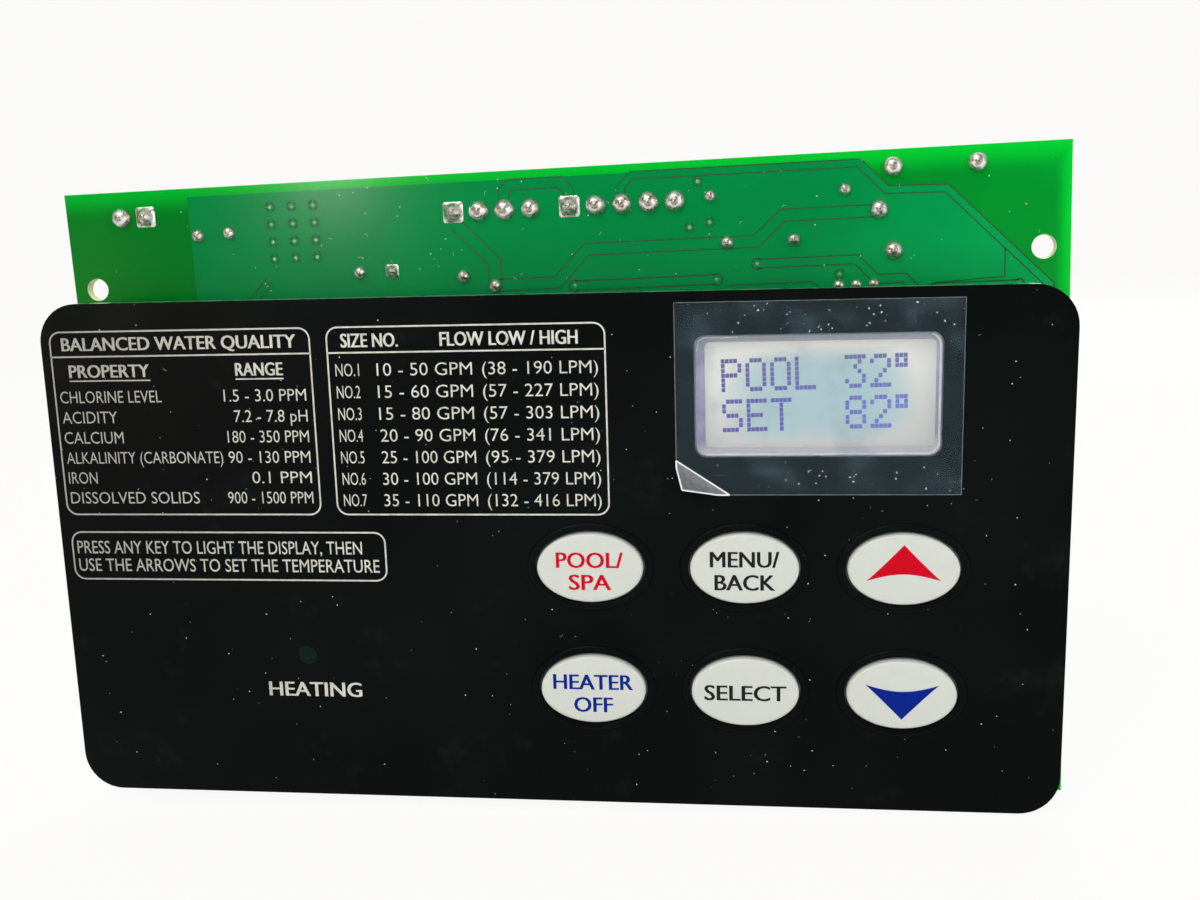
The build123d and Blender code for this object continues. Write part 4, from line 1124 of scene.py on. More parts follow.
class PANEL_OT_print(bpy.types.Operator):
    """Printed tables, the note box and the status light's word"""
    bl_idname = "panel.print"
    bl_label = "Printed tables"

    def execute(self, context):
        size = sizes()
        ink = print_finish()
        bold = 0.07
        light = -0.006
        shapes = [line_box(-82.1, -40.9, 36.5, 7.9), bar(-82.0, -41.0, 32.6, TABLE_LINE),
                  line_box(-38.5, 3.2, 36.5, 7.9), bar(-38.4, 3.1, 32.6, TABLE_LINE),
                  line_box(-81.9, -31.2, 5.3, -2.5),
                  lettering("BALANCED WATER QUALITY", -80.1, -43.2, 33.5, 2.1, bold),
                  lettering("PROPERTY", -79.3, -66.5, 29.4, 2.05, bold), bar(-79.4, -66.4, 28.9, 0.2),
                  lettering("RANGE", -52.8, -45.5, 29.4, 2.05, bold), bar(-52.9, -45.4, 28.9, 0.2),
                  lettering("SIZE NO.", -36.2, -27.6, 33.4, 2.15, bold),
                  lettering("FLOW LOW / HIGH", -21.2, -0.9, 33.4, 2.15, bold),
                  lettering("PRESS ANY KEY TO LIGHT THE DISPLAY, THEN", -81.0, -35.0, 1.75, 2.15),
                  lettering("USE THE ARROWS TO SET THE TEMPERATURE", -81.0, -32.4, -1.1, 2.15),
                  lettering("HEATING", -51.4, -36.5, -21.2, 2.45, 0.08)]
        for row, (word, right, value, left) in enumerate(CARE_ROWS):
            base = 25.5 - row * ROW_PITCH_CARE
            shapes.append(lettering(word, -81.2, right, base, 1.95, light))
            shapes.append(lettering(value, left, -42.1, base, 1.95, light))
        for row, (number, flow, metric) in enumerate(FLOW_ROWS):
            base = 29.1 - row * ROW_PITCH_FLOW
            shapes.append(lettering(number, -37.3, -33.7, base, 2.0, light))
            shapes.append(lettering(flow, -31.0, -16.6, base, 2.0, light))
            shapes.append(lettering(metric, -15.1, 2.0, base, 2.0, light))
        mesh = lay_ink("printed_tables", shapes, lambda x, z: KEYPAD_FACE, size.ink * MM)
        place_piece("printed_tables", mesh, ink)
        return {"FINISHED"}


# ---- the display ----

GLYPHS = {
    "P": "####. #...# #...# ####. #.... #.... #....",
    "O": ".###. #...# #...# #...# #...# #...# .###.",
    "L": "#.... #.... #.... #.... #.... #.... #####",
    "S": ".#### #.... #.... .###. ....# ....# ####.",
    "E": "##### #.... #.... ####. #.... #.... #####",
    "T": "##### ..#.. ..#.. ..#.. ..#.. ..#.. ..#..",
    "3": "##### ...#. ..#.. ...#. ....# #...# .###.",
    "2": ".###. #...# ....# ...#. ..#.. .#... #####",
    "8": ".###. #...# #...# .###. #...# #...# .###.",
    "o": "###.. #.#.. ###.. ..... ..... ..... .....",
}
DISPLAY_LINES = ("POOL 32o", "SET  82o")
TEXT_LEFT = 25.7
TEXT_TOP = 22.05


class PANEL_OT_display(bpy.types.Operator):
    """The display's lit face and dots, its lilac frame and the painted highlights along its lens's edges"""
    bl_idname = "panel.display"
    bl_label = "Display"

    def execute(self, context):
        size = sizes()
        dress("display_polarizer", display_finish())
        self.dots()
        lilac, tree, shader, place = start_material("lilac_frame", Roughness=0.22)
        up = along_axis(tree, place, "Z")
        middle_z = middle("window_lens").z
        tone = mix(tree, ramp(tree, noise(tree, place, 260.0, 3.0), 0.3, 0.7), (0.25, 0.23, 0.42),
                   (0.42, 0.40, 0.60))
        # Painted shade: the frame darkens to grey above the window's middle, where its top wall faces down.
        tone = mix(tree, ramp(tree, up, middle_z + 6 * MM, middle_z + 9 * MM), tone, (0.22, 0.24, 0.28))
        # Painted light: the frame turns paler below the window's middle, where its lower wall faces up.
        tone = mix(tree, ramp(tree, up, middle_z - 8 * MM, middle_z - 6 * MM, 1.0, 0.0), tone,
                   (0.50, 0.50, 0.56))
        # Painted glow: the frame glows a little, though it is no lamp.
        light_up(tree, shader, tone, 0.06)
        bump(tree, shader, noise(tree, place, 700.0, 3.0), 0.00002, 0.5)
        slope = ((0.0, BEZEL_FRONT, 0.2), (0.0, LENS_REAR, 0.2), (0.12, LENS_REAR, 0.4),
                 (0.25, LENS_REAR + 0.35 * MM, 0.7), (0.85, BEZEL_FRONT - 0.3 * MM, 1.9), (1.0,
                                                                                           BEZEL_FRONT, 2.1))
        rings = []
        for share, y, less in slope:
            outline = rounded(size.window_width - less, size.window_height - less - 0.2 * share,
                              size.window_corner - 0.9 * share)
            rings.append(ring_at(outline, size.window_x + 0.42 * share, y, size.window_z - 0.15 * share))
        mesh = smooth(closed_mesh("window_frame", rings, loop=True), 40.0)
        place_piece("window_frame", mesh, lilac, replaced=("display_gasket",))
        self.lit_edges()
        return {"FINISHED"}

    def lit_edges(self):
        """The clear lens's lower, right and upper left edges, where they catch the light."""
        size = sizes()
        glint = finish("lit_edge", (0.80, 0.82, 0.90), 0.12, tone=0.3, patch=900.0, Coat_Weight=0.5)
        x, z = size.window_x, size.window_z
        w, h, r = size.window_width / 2 - 0.32, size.window_height / 2 - 0.32, size.window_corner
        corner = [(x + w - r + r * math.cos(math.radians(a)), z - h + r + r * math.sin(math.radians(a)))
                  for a in range(-90, 1, 15)]
        upper = [(x + w - r + r * math.cos(math.radians(a)), z + h - r + r * math.sin(math.radians(a)))
                 for a in range(0, 76, 15)]
        first = [(x - w + r * 0.8, z - h), *corner, *upper]
        second = [(x - w + 0.1, z + h - r * 1.2), (x - w + 0.35, z + h - 0.55), (x - w + 1.2, z + h - 0.12),
                  (x - w + 6.0, z + h - 0.12)]
        draw_lines("lens_lit_edge", [first], LENS_REAR + 0.15 * MM, 0.32, glint, 0.00005,
                   ON_KEYPAD)
        draw_lines("lens_lit_corner", [second], LENS_REAR + 0.15 * MM, 0.16, glint, 0.00005,
                   ON_KEYPAD)

    def dots(self):
        """Each lit dot of the two lines."""
        size = sizes()
        half = size.dot / 2
        pattern = closed_mesh("dot", [
            [Vector((x * MM, y * MM, z * MM)) for x, z in rounded(side, side, 0.06, 1)]
            for side, y in ((2 * half, 0.0), (2 * half, -0.008), (2 * half - 0.04, -0.012))])
        spots = []
        for line, text in enumerate(DISPLAY_LINES):
            for letter, sign in enumerate(text):
                for row, bits in enumerate(GLYPHS.get(sign, "").split()):
                    for column, bit in enumerate(bits):
                        if bit == "#":
                            x = TEXT_LEFT + letter * size.letter_pitch + (column + 0.5) * size.dot_pitch_x
                            z = TEXT_TOP - line * size.line_pitch - (row + 0.5) * size.dot_pitch_z
                            spots.append((Vector((x * MM, DISPLAY_FRONT, z * MM)), Vector((1, 1, 1.16)),
                                          NO_TURN))
        repeat("display_dots", spots, pattern, dot_finish())


def dress(name, material):
    """Give a frame node its finished material."""
    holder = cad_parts[name]
    for slot in holder.material_slots:
        slot.material = material


# ---- the protective film ----


class PANEL_OT_window_film(bpy.types.Operator):
    """Peel-off film over the window, with one corner curled up"""
    bl_idname = "panel.window_film"
    bl_label = "Protective film"

    def execute(self, context):
        left, right, bottom, top = 13.1, 53.6, 11.0, 39.0
        fold = (7.7, 5.1)
        clear = clear_finish("protective_film", (0.17, 0.27, 0.33), 0.045, 0.20, 0.10)
        low, high = KEYPAD_FACE - 0.02 * MM, KEYPAD_FACE - 0.10 * MM
        outline = [(left, bottom + fold[1]), (left + fold[0], bottom), (right, bottom), (right, top),
                   (left, top)]
        mesh = flat_shape("window_film_sheet", [outline], high, low)
        place_piece("window_film_sheet", mesh, clear, replaced=("window_film",))
        # Painted highlight: a pale line along the film's cut edge, where light catches it.
        edge = finish("film_edge_painted_highlight", (0.16, 0.20, 0.21), 0.3, tone=0.6, patch=900.0, grain_depth=0.00001)
        rim = outline[1:] + [outline[0]]
        draw_lines("window_film_edge", [rim], high - 0.01 * MM, 0.10, edge, 0.00004,
                   ON_KEYPAD)
        self.flap(left, bottom, fold)
        return {"FINISHED"}

    def flap(self, left, bottom, fold):
        """The lifted corner, curling about the fold line."""
        frosted = finish("film_frosted", (0.17, 0.175, 0.185), 0.5, tone=0.5, patch=1500.0, grain=4000.0,
                         grain_depth=0.00003, scuff=0.4, scuff_colour=(0.6, 0.6, 0.62))
        # Painted highlight: near-white strips along the fold and the lifted corner's edges, where light
        # catches the clear film.
        bright = finish("film_fold_painted_highlight", (0.80, 0.82, 0.84), 0.3, tone=0.15, patch=1500.0)
        start = Vector((left, bottom + fold[1]))
        end = Vector((left + fold[0], bottom))
        along = (end - start)
        tip = Vector((left, bottom))
        out = Vector((along.y, -along.x)).normalized()
        if (tip - start).dot(out) < 0:
            out = -out
        depth = (tip - start).dot(out)
        foot = start + along * ((tip - start).dot(along) / along.length_squared)
        steps, across = 8, 12
        bend = math.radians(60.0)
        rows = []
        for i in range(steps + 1):
            t = i / steps
            arc = min(t, 0.35) / 0.35
            angle = bend * arc
            if i == 0:
                travel, rise = 0.0, 0.0
            else:
                travel += depth / steps * math.cos(angle)
                rise += depth / steps * math.sin(angle)
            row = []
            for j in range(across + 1):
                u = j / across
                point = start + along * u
                flat = foot + (point - foot) * (1 - t)
                spot = flat + out * travel
                row.append((spot.x, rise, spot.y))
            rows.append(row)
        mesh = bmesh.new()
        grid = []
        for side in (0.0, 0.08):
            grid.append([[mesh.verts.new(ON_KEYPAD @ Vector((x * MM, KEYPAD_FACE - (0.03 + r + side) * MM,
                                                             z * MM)))
                          for x, r, z in row] for row in rows])
        for layer in grid:
            for i in range(steps):
                for j in range(across):
                    mesh.faces.new((layer[i][j], layer[i][j + 1], layer[i + 1][j + 1], layer[i + 1][j]))
        for i in range(steps):
            for j in (0, across):
                mesh.faces.new((grid[0][i][j], grid[0][i + 1][j], grid[1][i + 1][j], grid[1][i][j]))
        for j in range(across):
            for i in (0, steps):
                mesh.faces.new((grid[0][i][j], grid[0][i][j + 1], grid[1][i][j + 1], grid[1][i][j]))
        bmesh.ops.remove_doubles(mesh, verts=mesh.verts, dist=1e-7)
        bmesh.ops.dissolve_degenerate(mesh, edges=mesh.edges, dist=1e-7)
        bmesh.ops.recalc_face_normals(mesh, faces=mesh.faces)
        result = bpy.data.meshes.new("flap")
        mesh.to_mesh(result)
        mesh.free()
        place_piece("window_film_corner", smooth(result), frosted)
        # The painted highlight runs along the fold and up both edges of the lifted corner to its tip.
        sides = [[(row[index][0], row[index][2],
                   row[index][1] + 0.14) for row in rows[:-1]] for index in (0, across)]
        crease = [(spot[0], spot[2], 0.16) for spot in rows[0]]
        tip = [(spot[0], spot[2], spot[1] + 0.14) for spot in rows[-1][:1]]
        draw_lines("window_film_crease", [crease, sides[0] + tip, sides[1] + tip], KEYPAD_FACE, 0.22, bright,
                   0.00005, ON_KEYPAD)


# ---- dust ----


class PANEL_OT_dust(bpy.types.Operator):
    """Fine dust and lint on the keypad and on the board"""
    bl_idname = "panel.dust"
    bl_label = "Dust"

    def execute(self, context):
        pale = finish("dust_pale", (0.62, 0.62, 0.52), 0.7, tone=0.3, patch=3000.0)
        speck = bpy.data.meshes.new("speck")
        shape = bmesh.new()
        bmesh.ops.create_icosphere(shape, subdivisions=1, radius=0.075 * MM)
        bmesh.ops.transform(shape, matrix=Matrix.Diagonal((1.3, 0.45, 0.8, 1)), verts=shape.verts)
        shape.to_mesh(speck)
        shape.free()
        size = sizes()
        x = size.keypad_width / 2 - size.keypad_left
        z = size.keypad_top - size.keypad_height / 2
        half = (size.keypad_width / 2 - 3, size.keypad_height / 2 - 3)
        corners = [(x - half[0], z - half[1]), (x + half[0], z - half[1]), (x + half[0], z + half[1]),
                   (x - half[0], z + half[1])]
        over_film = KEYPAD_FACE - 0.12 * MM
        board = BOARD_FRONT - 0.05 * MM
        level = LEVEL
        above = [(14.0, 34.6), (53.0, 34.6), (53.0, 38.7), (14.0, 38.7)]
        below = [(14.0 + 8.0, 11.4), (53.0, 11.4), (53.0, 15.8), (14.0 + 8.0, 15.8)]
        strip = [(-70, 34), (74, 34), (74, 50), (-70, 50)]
        lint = self.lint()
        for name, patch, y, shape, density, seed, matrix, small, large in (
                ("keypad_dust", corners, KEYPAD_FACE - 0.02 * MM, speck, 16000.0, 4, ON_KEYPAD, 0.4, 1.5),
                ("window_dust_above", above, over_film, speck, 240000.0, 9, ON_KEYPAD, 0.5, 2.0),
                ("window_dust_below", below, over_film, speck, 160000.0, 12, ON_KEYPAD, 0.5, 1.8),
                ("board_dust", strip, board, speck, 26000.0, 14, level, 0.4, 1.5),
                ("keypad_lint", corners, KEYPAD_FACE - 0.03 * MM, lint, 1100.0, 21, ON_KEYPAD, 0.4, 1.0),
                ("window_lint", below, over_film, lint, 26000.0, 23, ON_KEYPAD, 0.4, 1.0),
                ("board_lint", strip, board, lint, 12000.0, 31, level, 0.4, 1.0)):
            self.scatter(name, patch, y, shape, pale, density, seed, matrix, small, large)
        bpy.data.meshes.remove(speck)
        bpy.data.meshes.remove(lint)
        return {"FINISHED"}

    def lint(self):
        """A short bent fibre."""
        rings = []
        for i in range(6):
            angle = math.radians(20 * i)
            spot = Vector((0.45 * math.sin(angle), 0, 0.45 - 0.45 * math.cos(angle)))
            rings.append([(spot + Vector((w * math.sin(angle), -h, -w * math.cos(angle)))) * MM
                          for w, h in ((0.022, 0.0), (0.0, 0.04), (-0.022, 0.0))])
        return closed_mesh("lint", rings)

    def scatter(self, name, corners, y, speck, material, density, seed, matrix, small, large):
        """Specks over a four-sided patch."""
        mesh = bpy.data.meshes.new(name)
        mesh.from_pydata([matrix @ Vector((x * MM, y, z * MM)) for x, z in corners], [], [(0, 1, 2, 3)])
        holder = bpy.data.objects.new("speck", speck)
        bpy.context.scene.collection.objects.link(holder)
        run_tree(name, mesh, tree_named("scatter_specks", dust_tree),
                 {"Pattern": holder, "Density": density, "Smallest": small, "Largest": large, "Seed": seed},
                 material)
        bpy.data.objects.remove(holder)


# ---- finishes for the rest of the frame ----


class PANEL_OT_rear_details(bpy.types.Operator):
    """Vents, bands and moulded marks on the parts behind the board"""
    bl_idname = "panel.rear_details"
    bl_label = "Rear details"

    def execute(self, context):
        self.capacitor_tops()
        self.relay_tops()
        self.small_parts()
        return {"FINISHED"}

    def capacitor_tops(self):
        """Bare can tops with a scored vent, and a pale stripe down each sleeve."""
        alloy = finish("can_alloy", (0.72, 0.72, 0.71), 0.35, 1.0, patch=900.0, scuff=0.2)
        score = finish("scored_line", (0.08, 0.08, 0.08), 0.6, tone=0.2)
        pale = finish("sleeve_stripe", (0.45, 0.48, 0.55), 0.4, tone=0.15)
        profile = [(0.84, -0.3, 0), (0.84, 0.05, 0), (0.79, 0.12, 0), (0.77, 0.03, 0), (0.02, 0.03, 0)]
        spots, scores, stripes = [], [], []
        for x, z, radius, length in CAPACITORS:
            spots.append((Vector((x, length, z)) * MM, Vector((radius, 1, radius)), TO_REAR))
            reach = radius * 0.55
            for turn in (0.3, 0.3 + math.pi / 2):
                c, s = reach * math.cos(turn), reach * math.sin(turn)
                scores.append([(x - c, z - s, -length), (x + c, z + s, -length)])
            rings = []
            for step in range(9):
                angle = math.radians(-24 + 6 * step)
                rings.append([Vector((x + r * math.cos(angle), y, z + r * math.sin(angle))) * MM
                              for r, y in ((radius + 0.03, 0.6), (radius + 0.03, length - 0.9),
                                           (radius - 0.2, length - 0.9), (radius - 0.2, 0.6))])
            stripes.append(closed_mesh("stripe", rings))
        repeat("can_tops", spots, turned_pattern("can_top", profile, 32), alloy)
        draw_lines("can_vents", scores, 0.04 * MM, 0.22, score)
        place_piece("can_stripes", smooth(join_meshes("can_stripes", stripes)), pale)

    def relay_tops(self):
        """A raised border, a vent nub and a mark for the coil end on each relay."""
        blue = finish("relay_moulding", (0.018, 0.12, 0.42), 0.3, tone=0.12, patch=900.0)
        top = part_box("relay_cases")[1].y
        borders, nubs = [], []
        for common_x, z in RELAYS:
            x = common_x + RELAY_MIDDLE
            border = [(x + px, z + pz) for px, pz in rounded(17.2, 13.0, 0.8, 3)]
            borders.append(border + border[:1])
            borders.append([(x - 6.6, z - 3.2), (x - 6.6, z + 3.2)])
            nubs.append((Vector((x + 6.2, 0, z + 4.2)) * MM + Vector((0, top, 0)), UNIT,
                         TO_REAR))
        draw_lines("relay_borders", borders, top, 0.45, blue, 0.00024)
        nub = turned_pattern("nub", [(0.9, -0.2, 0), (0.9, 0.2, 0), (0.7, 0.35, 0), (0.35, 0.35, 0),
                                     (0.3, 0.1, 0)], 20)
        repeat("relay_vents", nubs, nub, blue)

    def small_parts(self):
        """Diode and resistor bands, the processor's first-pin mark and the crystal's flange."""
        pale = finish("band_ink", (0.62, 0.62, 0.60), 0.5, tone=0.12)
        low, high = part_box("relay_diodes")
        bands = [[(x - 1.25, z - 1.25), (x - 1.25, z + 1.25)] for x, z in DIODES]
        draw_lines("diode_bands", bands, high.y, 0.55, pale, 0.00004)
        low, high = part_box("processor")
        x, z = low.x / MM, (low.z + high.z) / 2 / MM
        notch = [(x + 1.1 * math.sin(a * math.pi / 8), z + 1.1 * math.cos(a * math.pi / 8)) for a in range(9)]
        dot = [(x + 2.2 + px, low.z / MM + 1.4 + pz) for px, pz in oval(0.32, 0.32, 12)]
        draw_lines("processor_marks", [notch, dot + dot[:1]], high.y, 0.16, pale, 0.00004)
        low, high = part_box("crystal")
        width, height = (high.x - low.x) / MM + 0.7, (high.z - low.z) / MM + 0.7
        rim = [((low.x + high.x) / 2 / MM + px, (low.z + high.z) / 2 / MM + pz)
               for px, pz in rounded(width, height, height / 2 - 0.05, 6)]
        flange = finish("crystal_flange", (0.66, 0.66, 0.64), 0.35, 1.0, tone=0.2)
        draw_lines("crystal_flange", [rim + rim[:1]], low.y + 0.3 * MM, 0.7, flange, 0.0004)
        radius = RESISTOR_WAIST
        profile = [(radius, 0.0, 0), (radius + 0.04, 0.08, 0), (radius + 0.04, 0.42, 0), (radius, 0.5, 0)]
        band = turned_pattern("band", profile, 20)
        for name, colour, steps in (("resistor_bands", (0.30, 0.02, 0.012), (-1.2, -0.4)),
                                    ("resistor_end_band", (0.50, 0.34, 0.10), (0.9,))):
            spots = [((RESISTOR + Vector((step, 0, 0))) * MM, UNIT, Vector((0, 0, math.pi / 2)))
                     for step in steps]
            repeat(name, spots, band.copy(), finish(name, colour, 0.4, tone=0.2, patch=1500.0))
        self.chip_parts()

    def chip_parts(self):
        """A dark glazed body with two tinned ends over each chip resistor."""
        glaze = finish("chip_glaze", (0.012, 0.012, 0.014), 0.3, tone=0.2, patch=2000.0)
        tinned = finish("chip_end", (0.66, 0.66, 0.64), 0.35, 1.0, tone=0.2, patch=2000.0, scuff=0.2)
        spots = [Vector((x + CHIP_STEP * number, 0, z)) * MM for x, z,
                 count in CHIP_ROWS for number in range(count)]
        width, length, depth = CHIP_SIZE
        for name, material, reach, middles, high in (
                ("chip_bodies", glaze, length - 0.7, (0.0,), depth + 0.04),
                ("chip_ends", tinned, 0.42, (-length / 2 + 0.19, length / 2 - 0.19), depth + 0.03)):
            rings = []
            for side in middles:
                outline = rounded(width + 0.06, reach, 0.06, 2)
                less = rounded(width - 0.08, reach - 0.1, 0.05, 2)
                rings.append(closed_mesh(name, [ring_at(shape, 0, y * MM, side, LEVEL) for shape, y in (
                    (outline, 0.03), (outline, high - 0.05), (less, high))]))
            repeat(name, [(spot, UNIT, NO_TURN) for spot in spots],
                   join_meshes(name, rings), material)


DIODES = [(38.0, 26.0), (-41.0, 19.0), (-41.0, 2.0)]
RESISTOR = Vector((31.95, 1.7, 38.6))
RESISTOR_WAIST = 1.05
CHIP_ROWS = [(-40.0, -17.0, 6), (-6.0, -1.0, 5)]
CHIP_STEP = 2.6
CHIP_SIZE = (1.25, 2.0, 0.55)


class PANEL_OT_finishes(bpy.types.Operator):
    """Finishes for the pieces that keep their frame shape"""
    bl_idname = "panel.finishes"
    bl_label = "Other finishes"

    def execute(self, context):
        tinned = finish("tinned_wire", (0.70, 0.70, 0.67), 0.28, 1.0, patch=900.0, grain_depth=0.00001)
        steel = finish("plated_steel", (0.62, 0.62, 0.60), 0.32, 1.0, patch=500.0, scuff=0.25)
        epoxy = finish("chip_epoxy", (0.018, 0.018, 0.020), 0.55, grain=9000.0, grain_depth=0.000015)
        black = finish("moulded_black", (0.020, 0.020, 0.021), 0.45, grain=5000.0)
        nylon = finish("moulded_nylon", (0.72, 0.70, 0.62), 0.42, tone=0.05, Subsurface_Weight=0.1,
                       Subsurface_Scale=0.001)
        looks = {
            "keypad_plate": finish("plate_aluminium", (0.62, 0.63, 0.64), 0.34, 1.0, patch=120.0, scuff=0.2),
            "window_lens": clear_finish("window_lens", (0.85, 0.88, 0.95), 0.05, 0.05, 0.03),
            "led_window": finish("light_window_green", (0.001, 0.010, 0.007), 0.3, tone=0.3,
                                 Specular_IOR_Level=0.08),
            "switch_bodies": black, "switch_covers": steel, "component_leads": tinned, "plug_pins": tinned,
            "regulator_tab": tinned, "processor_leads": tinned, "display_bezel": black,
            "display_glass": clear_finish("display_glass", (0.6, 0.7, 0.66), 0.35, 0.05, 0.02),
            "backlight": finish("light_guide", (0.78, 0.82, 0.86), 0.25, tone=0.04),
            "contact_strips": finish("contact_rubber", (0.34, 0.28, 0.28), 0.6, tone=0.3, patch=3000.0),
            "display_board": mask_finish("display_board_mask", (0.0, 0.16, 0.05)),
            "display_chips": epoxy, "processor": epoxy, "regulator": epoxy, "transistor": epoxy,
            "relay_diodes": epoxy, "display_header": black,
            "display_header_pins": finish("plated_gold", (0.83, 0.62, 0.26), 0.25, 1.0),
            "status_light": finish("status_lens", (0.50, 0.05, 0.03), 0.2, Coat_Weight=0.4),
            "status_light_spacer": nylon, "plug_headers": nylon,
            "standoffs": finish("plated_brass", (0.72, 0.66, 0.50), 0.28, 1.0, scuff=0.15),
            "plate_screws": steel, "standoff_screws": steel,
            "relay_cases": finish("relay_case_blue", (0.015, 0.10, 0.38), 0.28, tone=0.06,
                                  grain_depth=0.000008),
            "relay_bases": black, "relay_coils": finish("coil_wire", (0.55, 0.22, 0.08), 0.3, 0.7,
                                                        patch=5000.0),
            "capacitor_cans": finish("capacitor_sleeve", (0.018, 0.028, 0.09), 0.3, tone=0.1),
            "capacitor_seals": finish("seal_rubber", (0.03, 0.03, 0.03), 0.7),
            "fuse_glass": clear_finish("fuse_glass", (0.85, 0.93, 0.92), 0.25, 0.05, 0.02),
            "fuse_caps": finish("nickel_cap", (0.76, 0.75, 0.72), 0.22, 1.0, scuff=0.1),
            "crystal": finish("crystal_can", (0.70, 0.70, 0.68), 0.30, 1.0, scuff=0.2),
            "resistors": finish("resistor_lacquer", (0.40, 0.30, 0.18), 0.4, tone=0.15),
            "setting_switch": finish("switch_red", (0.50, 0.015, 0.012), 0.35, grain_depth=0.000008),
            "contrast_trimmer": finish("trimmer_blue", (0.02, 0.11, 0.42), 0.35),
            "contrast_rotor": finish("rotor_white", (0.78, 0.76, 0.68), 0.4),
        }
        white = finish("slider_white", (0.82, 0.82, 0.78), 0.4, tone=0.04)
        for number in (1, 2, 3):
            looks["setting_slider_" + str(number)] = white
        for row in KEY_GRID:
            for name in row:
                looks[name.replace("key", "plunger")] = black
        for name, material in looks.items():
            dress(name, material)
        return {"FINISHED"}


# ---- stage ----


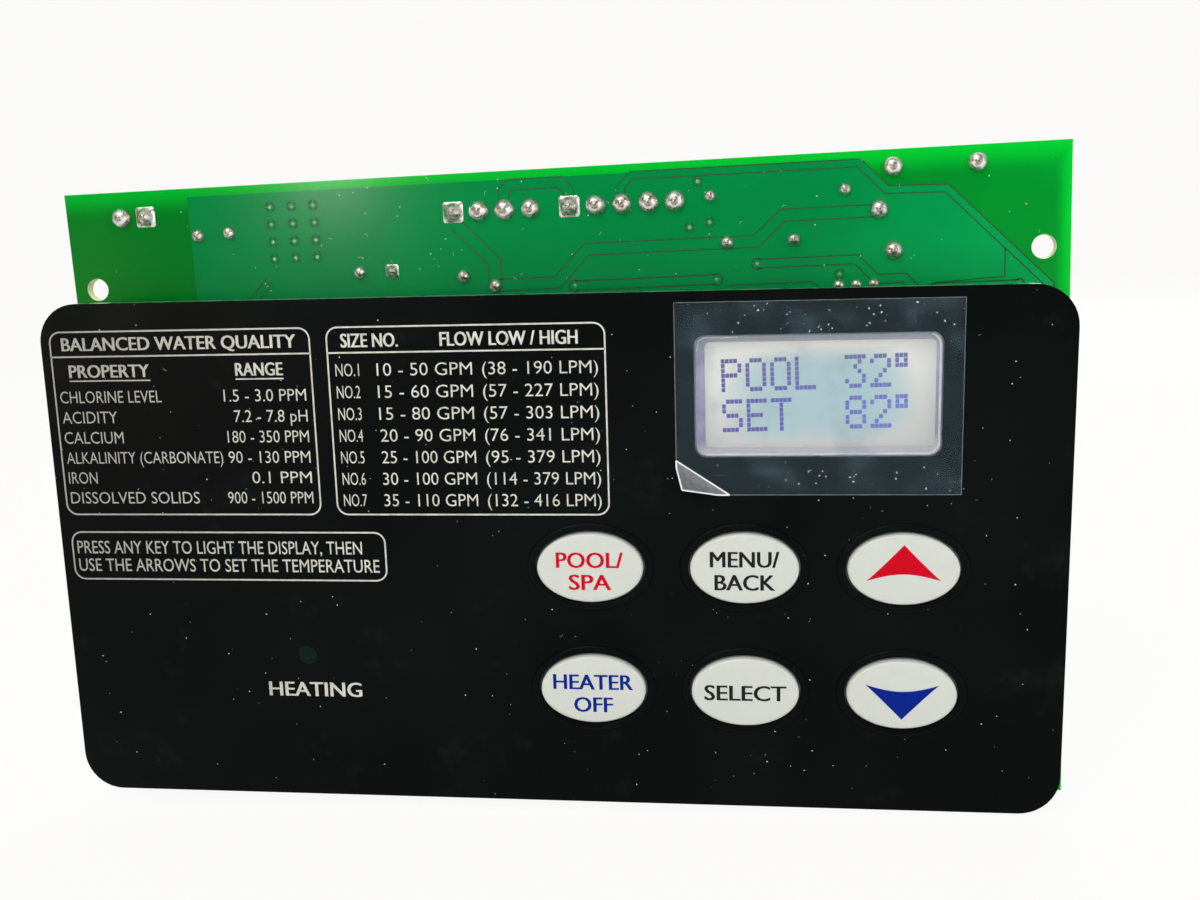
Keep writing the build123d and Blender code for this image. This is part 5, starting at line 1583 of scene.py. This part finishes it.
class PANEL_OT_stage(bpy.types.Operator):
    """Pale floor and backdrop, soft lights, white surroundings and the camera"""
    bl_idname = "panel.stage"
    bl_label = "Stage"

    def execute(self, context):
        self.floor()
        self.lights()
        self.world(context)
        self.camera(context)
        return {"FINISHED"}

    def floor(self):
        """A floor that sweeps up into a backdrop."""
        base = BOARD_LOW.z
        depth, height, bend = 1.6, 1.6, 0.5
        line = [(-2.5, base), (depth - bend, base)]
        line += [(depth - bend + bend * math.sin(math.radians(a)),
                  base + bend * (1 - math.cos(math.radians(a))))
                 for a in range(15, 91, 15)]
        line += [(depth, base + height)]
        mesh = bpy.data.meshes.new("floor")
        points = [(x, y, z) for x in (-3.0, 3.0) for y, z in line]
        count = len(line)
        mesh.from_pydata(points, [], [(i, count + i, count + i + 1, i + 1) for i in range(count - 1)])
        floor = bpy.data.objects.new("floor", smooth(mesh))
        bpy.context.scene.collection.objects.link(floor)
        material, tree, shader, place = start_material("floor_white", Roughness=0.9)
        shader.inputs["Base Color"].default_value = (0.86, 0.86, 0.85, 1)
        path = node(tree, "ShaderNodeLightPath")
        seen = calc(tree, "MAXIMUM", path.outputs["Is Camera Ray"], path.outputs["Is Glossy Ray"])
        seen = calc(tree, "MAXIMUM", seen, path.outputs["Is Transmission Ray"])
        glow = node(tree, "ShaderNodeEmission", {"Color": (1, 0.995, 0.985, 1), "Strength": 1.0})
        share = calc(tree, "MULTIPLY", seen, 0.93)
        blend = node(tree, "ShaderNodeMixShader", {0: share, 1: shader.outputs[0], 2: glow.outputs[0]})
        tree.links.new(blend.outputs[0], tree.nodes["Material Output"].inputs["Surface"])
        mesh.materials.append(material)

    def lights(self):
        """Soft area lamps: name, place, target, size, power and colour."""
        lamps = [("key_lamp", (-0.25, -0.75, 0.75), (0.0, 0.0, 0.0), 0.7, 6.8, (1.0, 0.99, 0.97)),
                 ("fill_lamp", (0.75, -0.7, 0.25), (0.0, 0.0, 0.0), 0.6, 2.6, (0.97, 0.99, 1.0)),
                 ("warm_card", (-0.47, -0.62, -0.02), (-0.07, 0.0, 0.0), 0.16, 0.5, (1.0, 0.62, 0.40)),
                 ("glare_lamp", (-0.235, -0.60, 0.085), (-0.03, 0.0, 0.04), 0.035, 0.25, (1.0, 1.0, 0.95)),
                 ("rear_lamp", (0.3, 0.9, 0.6), (0.0, 0.0, 0.0), 0.6, 6.0, (1.0, 1.0, 1.0))]
        for name, place, target, size, power, colour in lamps:
            lamp = bpy.data.lights.new(name, "AREA")
            lamp.size, lamp.energy, lamp.color = size, power, colour
            holder = bpy.data.objects.new(name, lamp)
            holder.location = place
            holder.rotation_euler = (Vector(target) - Vector(place)).to_track_quat("-Z", "Y").to_euler()
            bpy.context.scene.collection.objects.link(holder)

    def world(self, context):
        """Even light, white where it is seen, and dimmer from the front so that gloss stays deep."""
        world = bpy.data.worlds.new("studio")
        world.use_nodes = True
        tree = world.node_tree
        back = tree.nodes["Background"]
        path = node(tree, "ShaderNodeLightPath")
        direction = node(tree, "ShaderNodeTexCoord").outputs["Object"]
        ahead = along_axis(tree, direction, "Y")
        gloss = ramp(tree, ahead, -0.5, 0.4, 0.10, 1.0)
        seen = calc(tree, "MAXIMUM", path.outputs["Is Camera Ray"], path.outputs["Is Transmission Ray"])
        glossy = calc(tree, "MULTIPLY", gloss, path.outputs["Is Glossy Ray"])
        strongest = calc(tree, "MAXIMUM", seen, glossy)
        dull = calc(tree, "SUBTRACT", 1.0, path.outputs["Is Glossy Ray"])
        steady = calc(tree, "MULTIPLY", dull, 0.34)
        strength = calc(tree, "MAXIMUM", strongest, steady)
        tree.links.new(strength, back.inputs["Strength"])
        back.inputs["Color"].default_value = (1.0, 0.995, 0.985, 1)
        context.scene.world = world

    def camera(self, context):
        """A camera in front, a little to the right and above, looking down on the keypad."""
        lens = bpy.data.cameras.new("camera")
        lens.sensor_width = 36.0
        lens.lens = 36.77
        lens.clip_start = 0.01
        camera = bpy.data.objects.new("camera", lens)
        right = Vector((0.9919, 0.1172, -0.0489))
        ahead = Vector((-0.1241, 0.9763, -0.1771))
        ahead = (ahead - right * ahead.dot(right)).normalized()
        up = right.cross(ahead)
        turn = Matrix((right, up, -ahead)).transposed().to_4x4()
        camera.matrix_world = Matrix.Translation((0.03009, -0.18695, 0.04149)) @ turn
        context.scene.collection.objects.link(camera)
        context.scene.camera = camera
        context.scene.view_settings.view_transform = "Standard"


OPERATORS = (PANEL_OT_board, PANEL_OT_solder, PANEL_OT_keypad_film, PANEL_OT_keys, PANEL_OT_print,
             PANEL_OT_display, PANEL_OT_window_film, PANEL_OT_dust, PANEL_OT_rear_details,
             PANEL_OT_finishes, PANEL_OT_stage)


class PANEL_PT_sidebar(bpy.types.Panel):
    """Lists the steps that build the finished panel"""
    bl_idname = "PANEL_PT_sidebar"
    bl_label = "Heater Control Panel"
    bl_space_type = "VIEW_3D"
    bl_region_type = "UI"
    bl_category = "Panel"

    def draw(self, context):
        for operator in OPERATORS:
            self.layout.operator(operator.bl_idname)


CLASSES = (PanelSizes, PanelColours, *OPERATORS, PANEL_PT_sidebar)


def register():
    for item in CLASSES:
        bpy.utils.register_class(item)
    bpy.types.Scene.panel_sizes = bpy.props.PointerProperty(type=PanelSizes)
    bpy.types.Scene.panel_colours = bpy.props.PointerProperty(type=PanelColours)


def unregister():
    del bpy.types.Scene.panel_sizes
    del bpy.types.Scene.panel_colours
    for item in reversed(CLASSES):
        bpy.utils.unregister_class(item)


def main():
    """Register the add-on and run every step."""
    register()
    for operator in OPERATORS:
        group, name = operator.bl_idname.split(".")
        getattr(getattr(bpy.ops, group), name)()


if __name__ == "__main__":
    main()
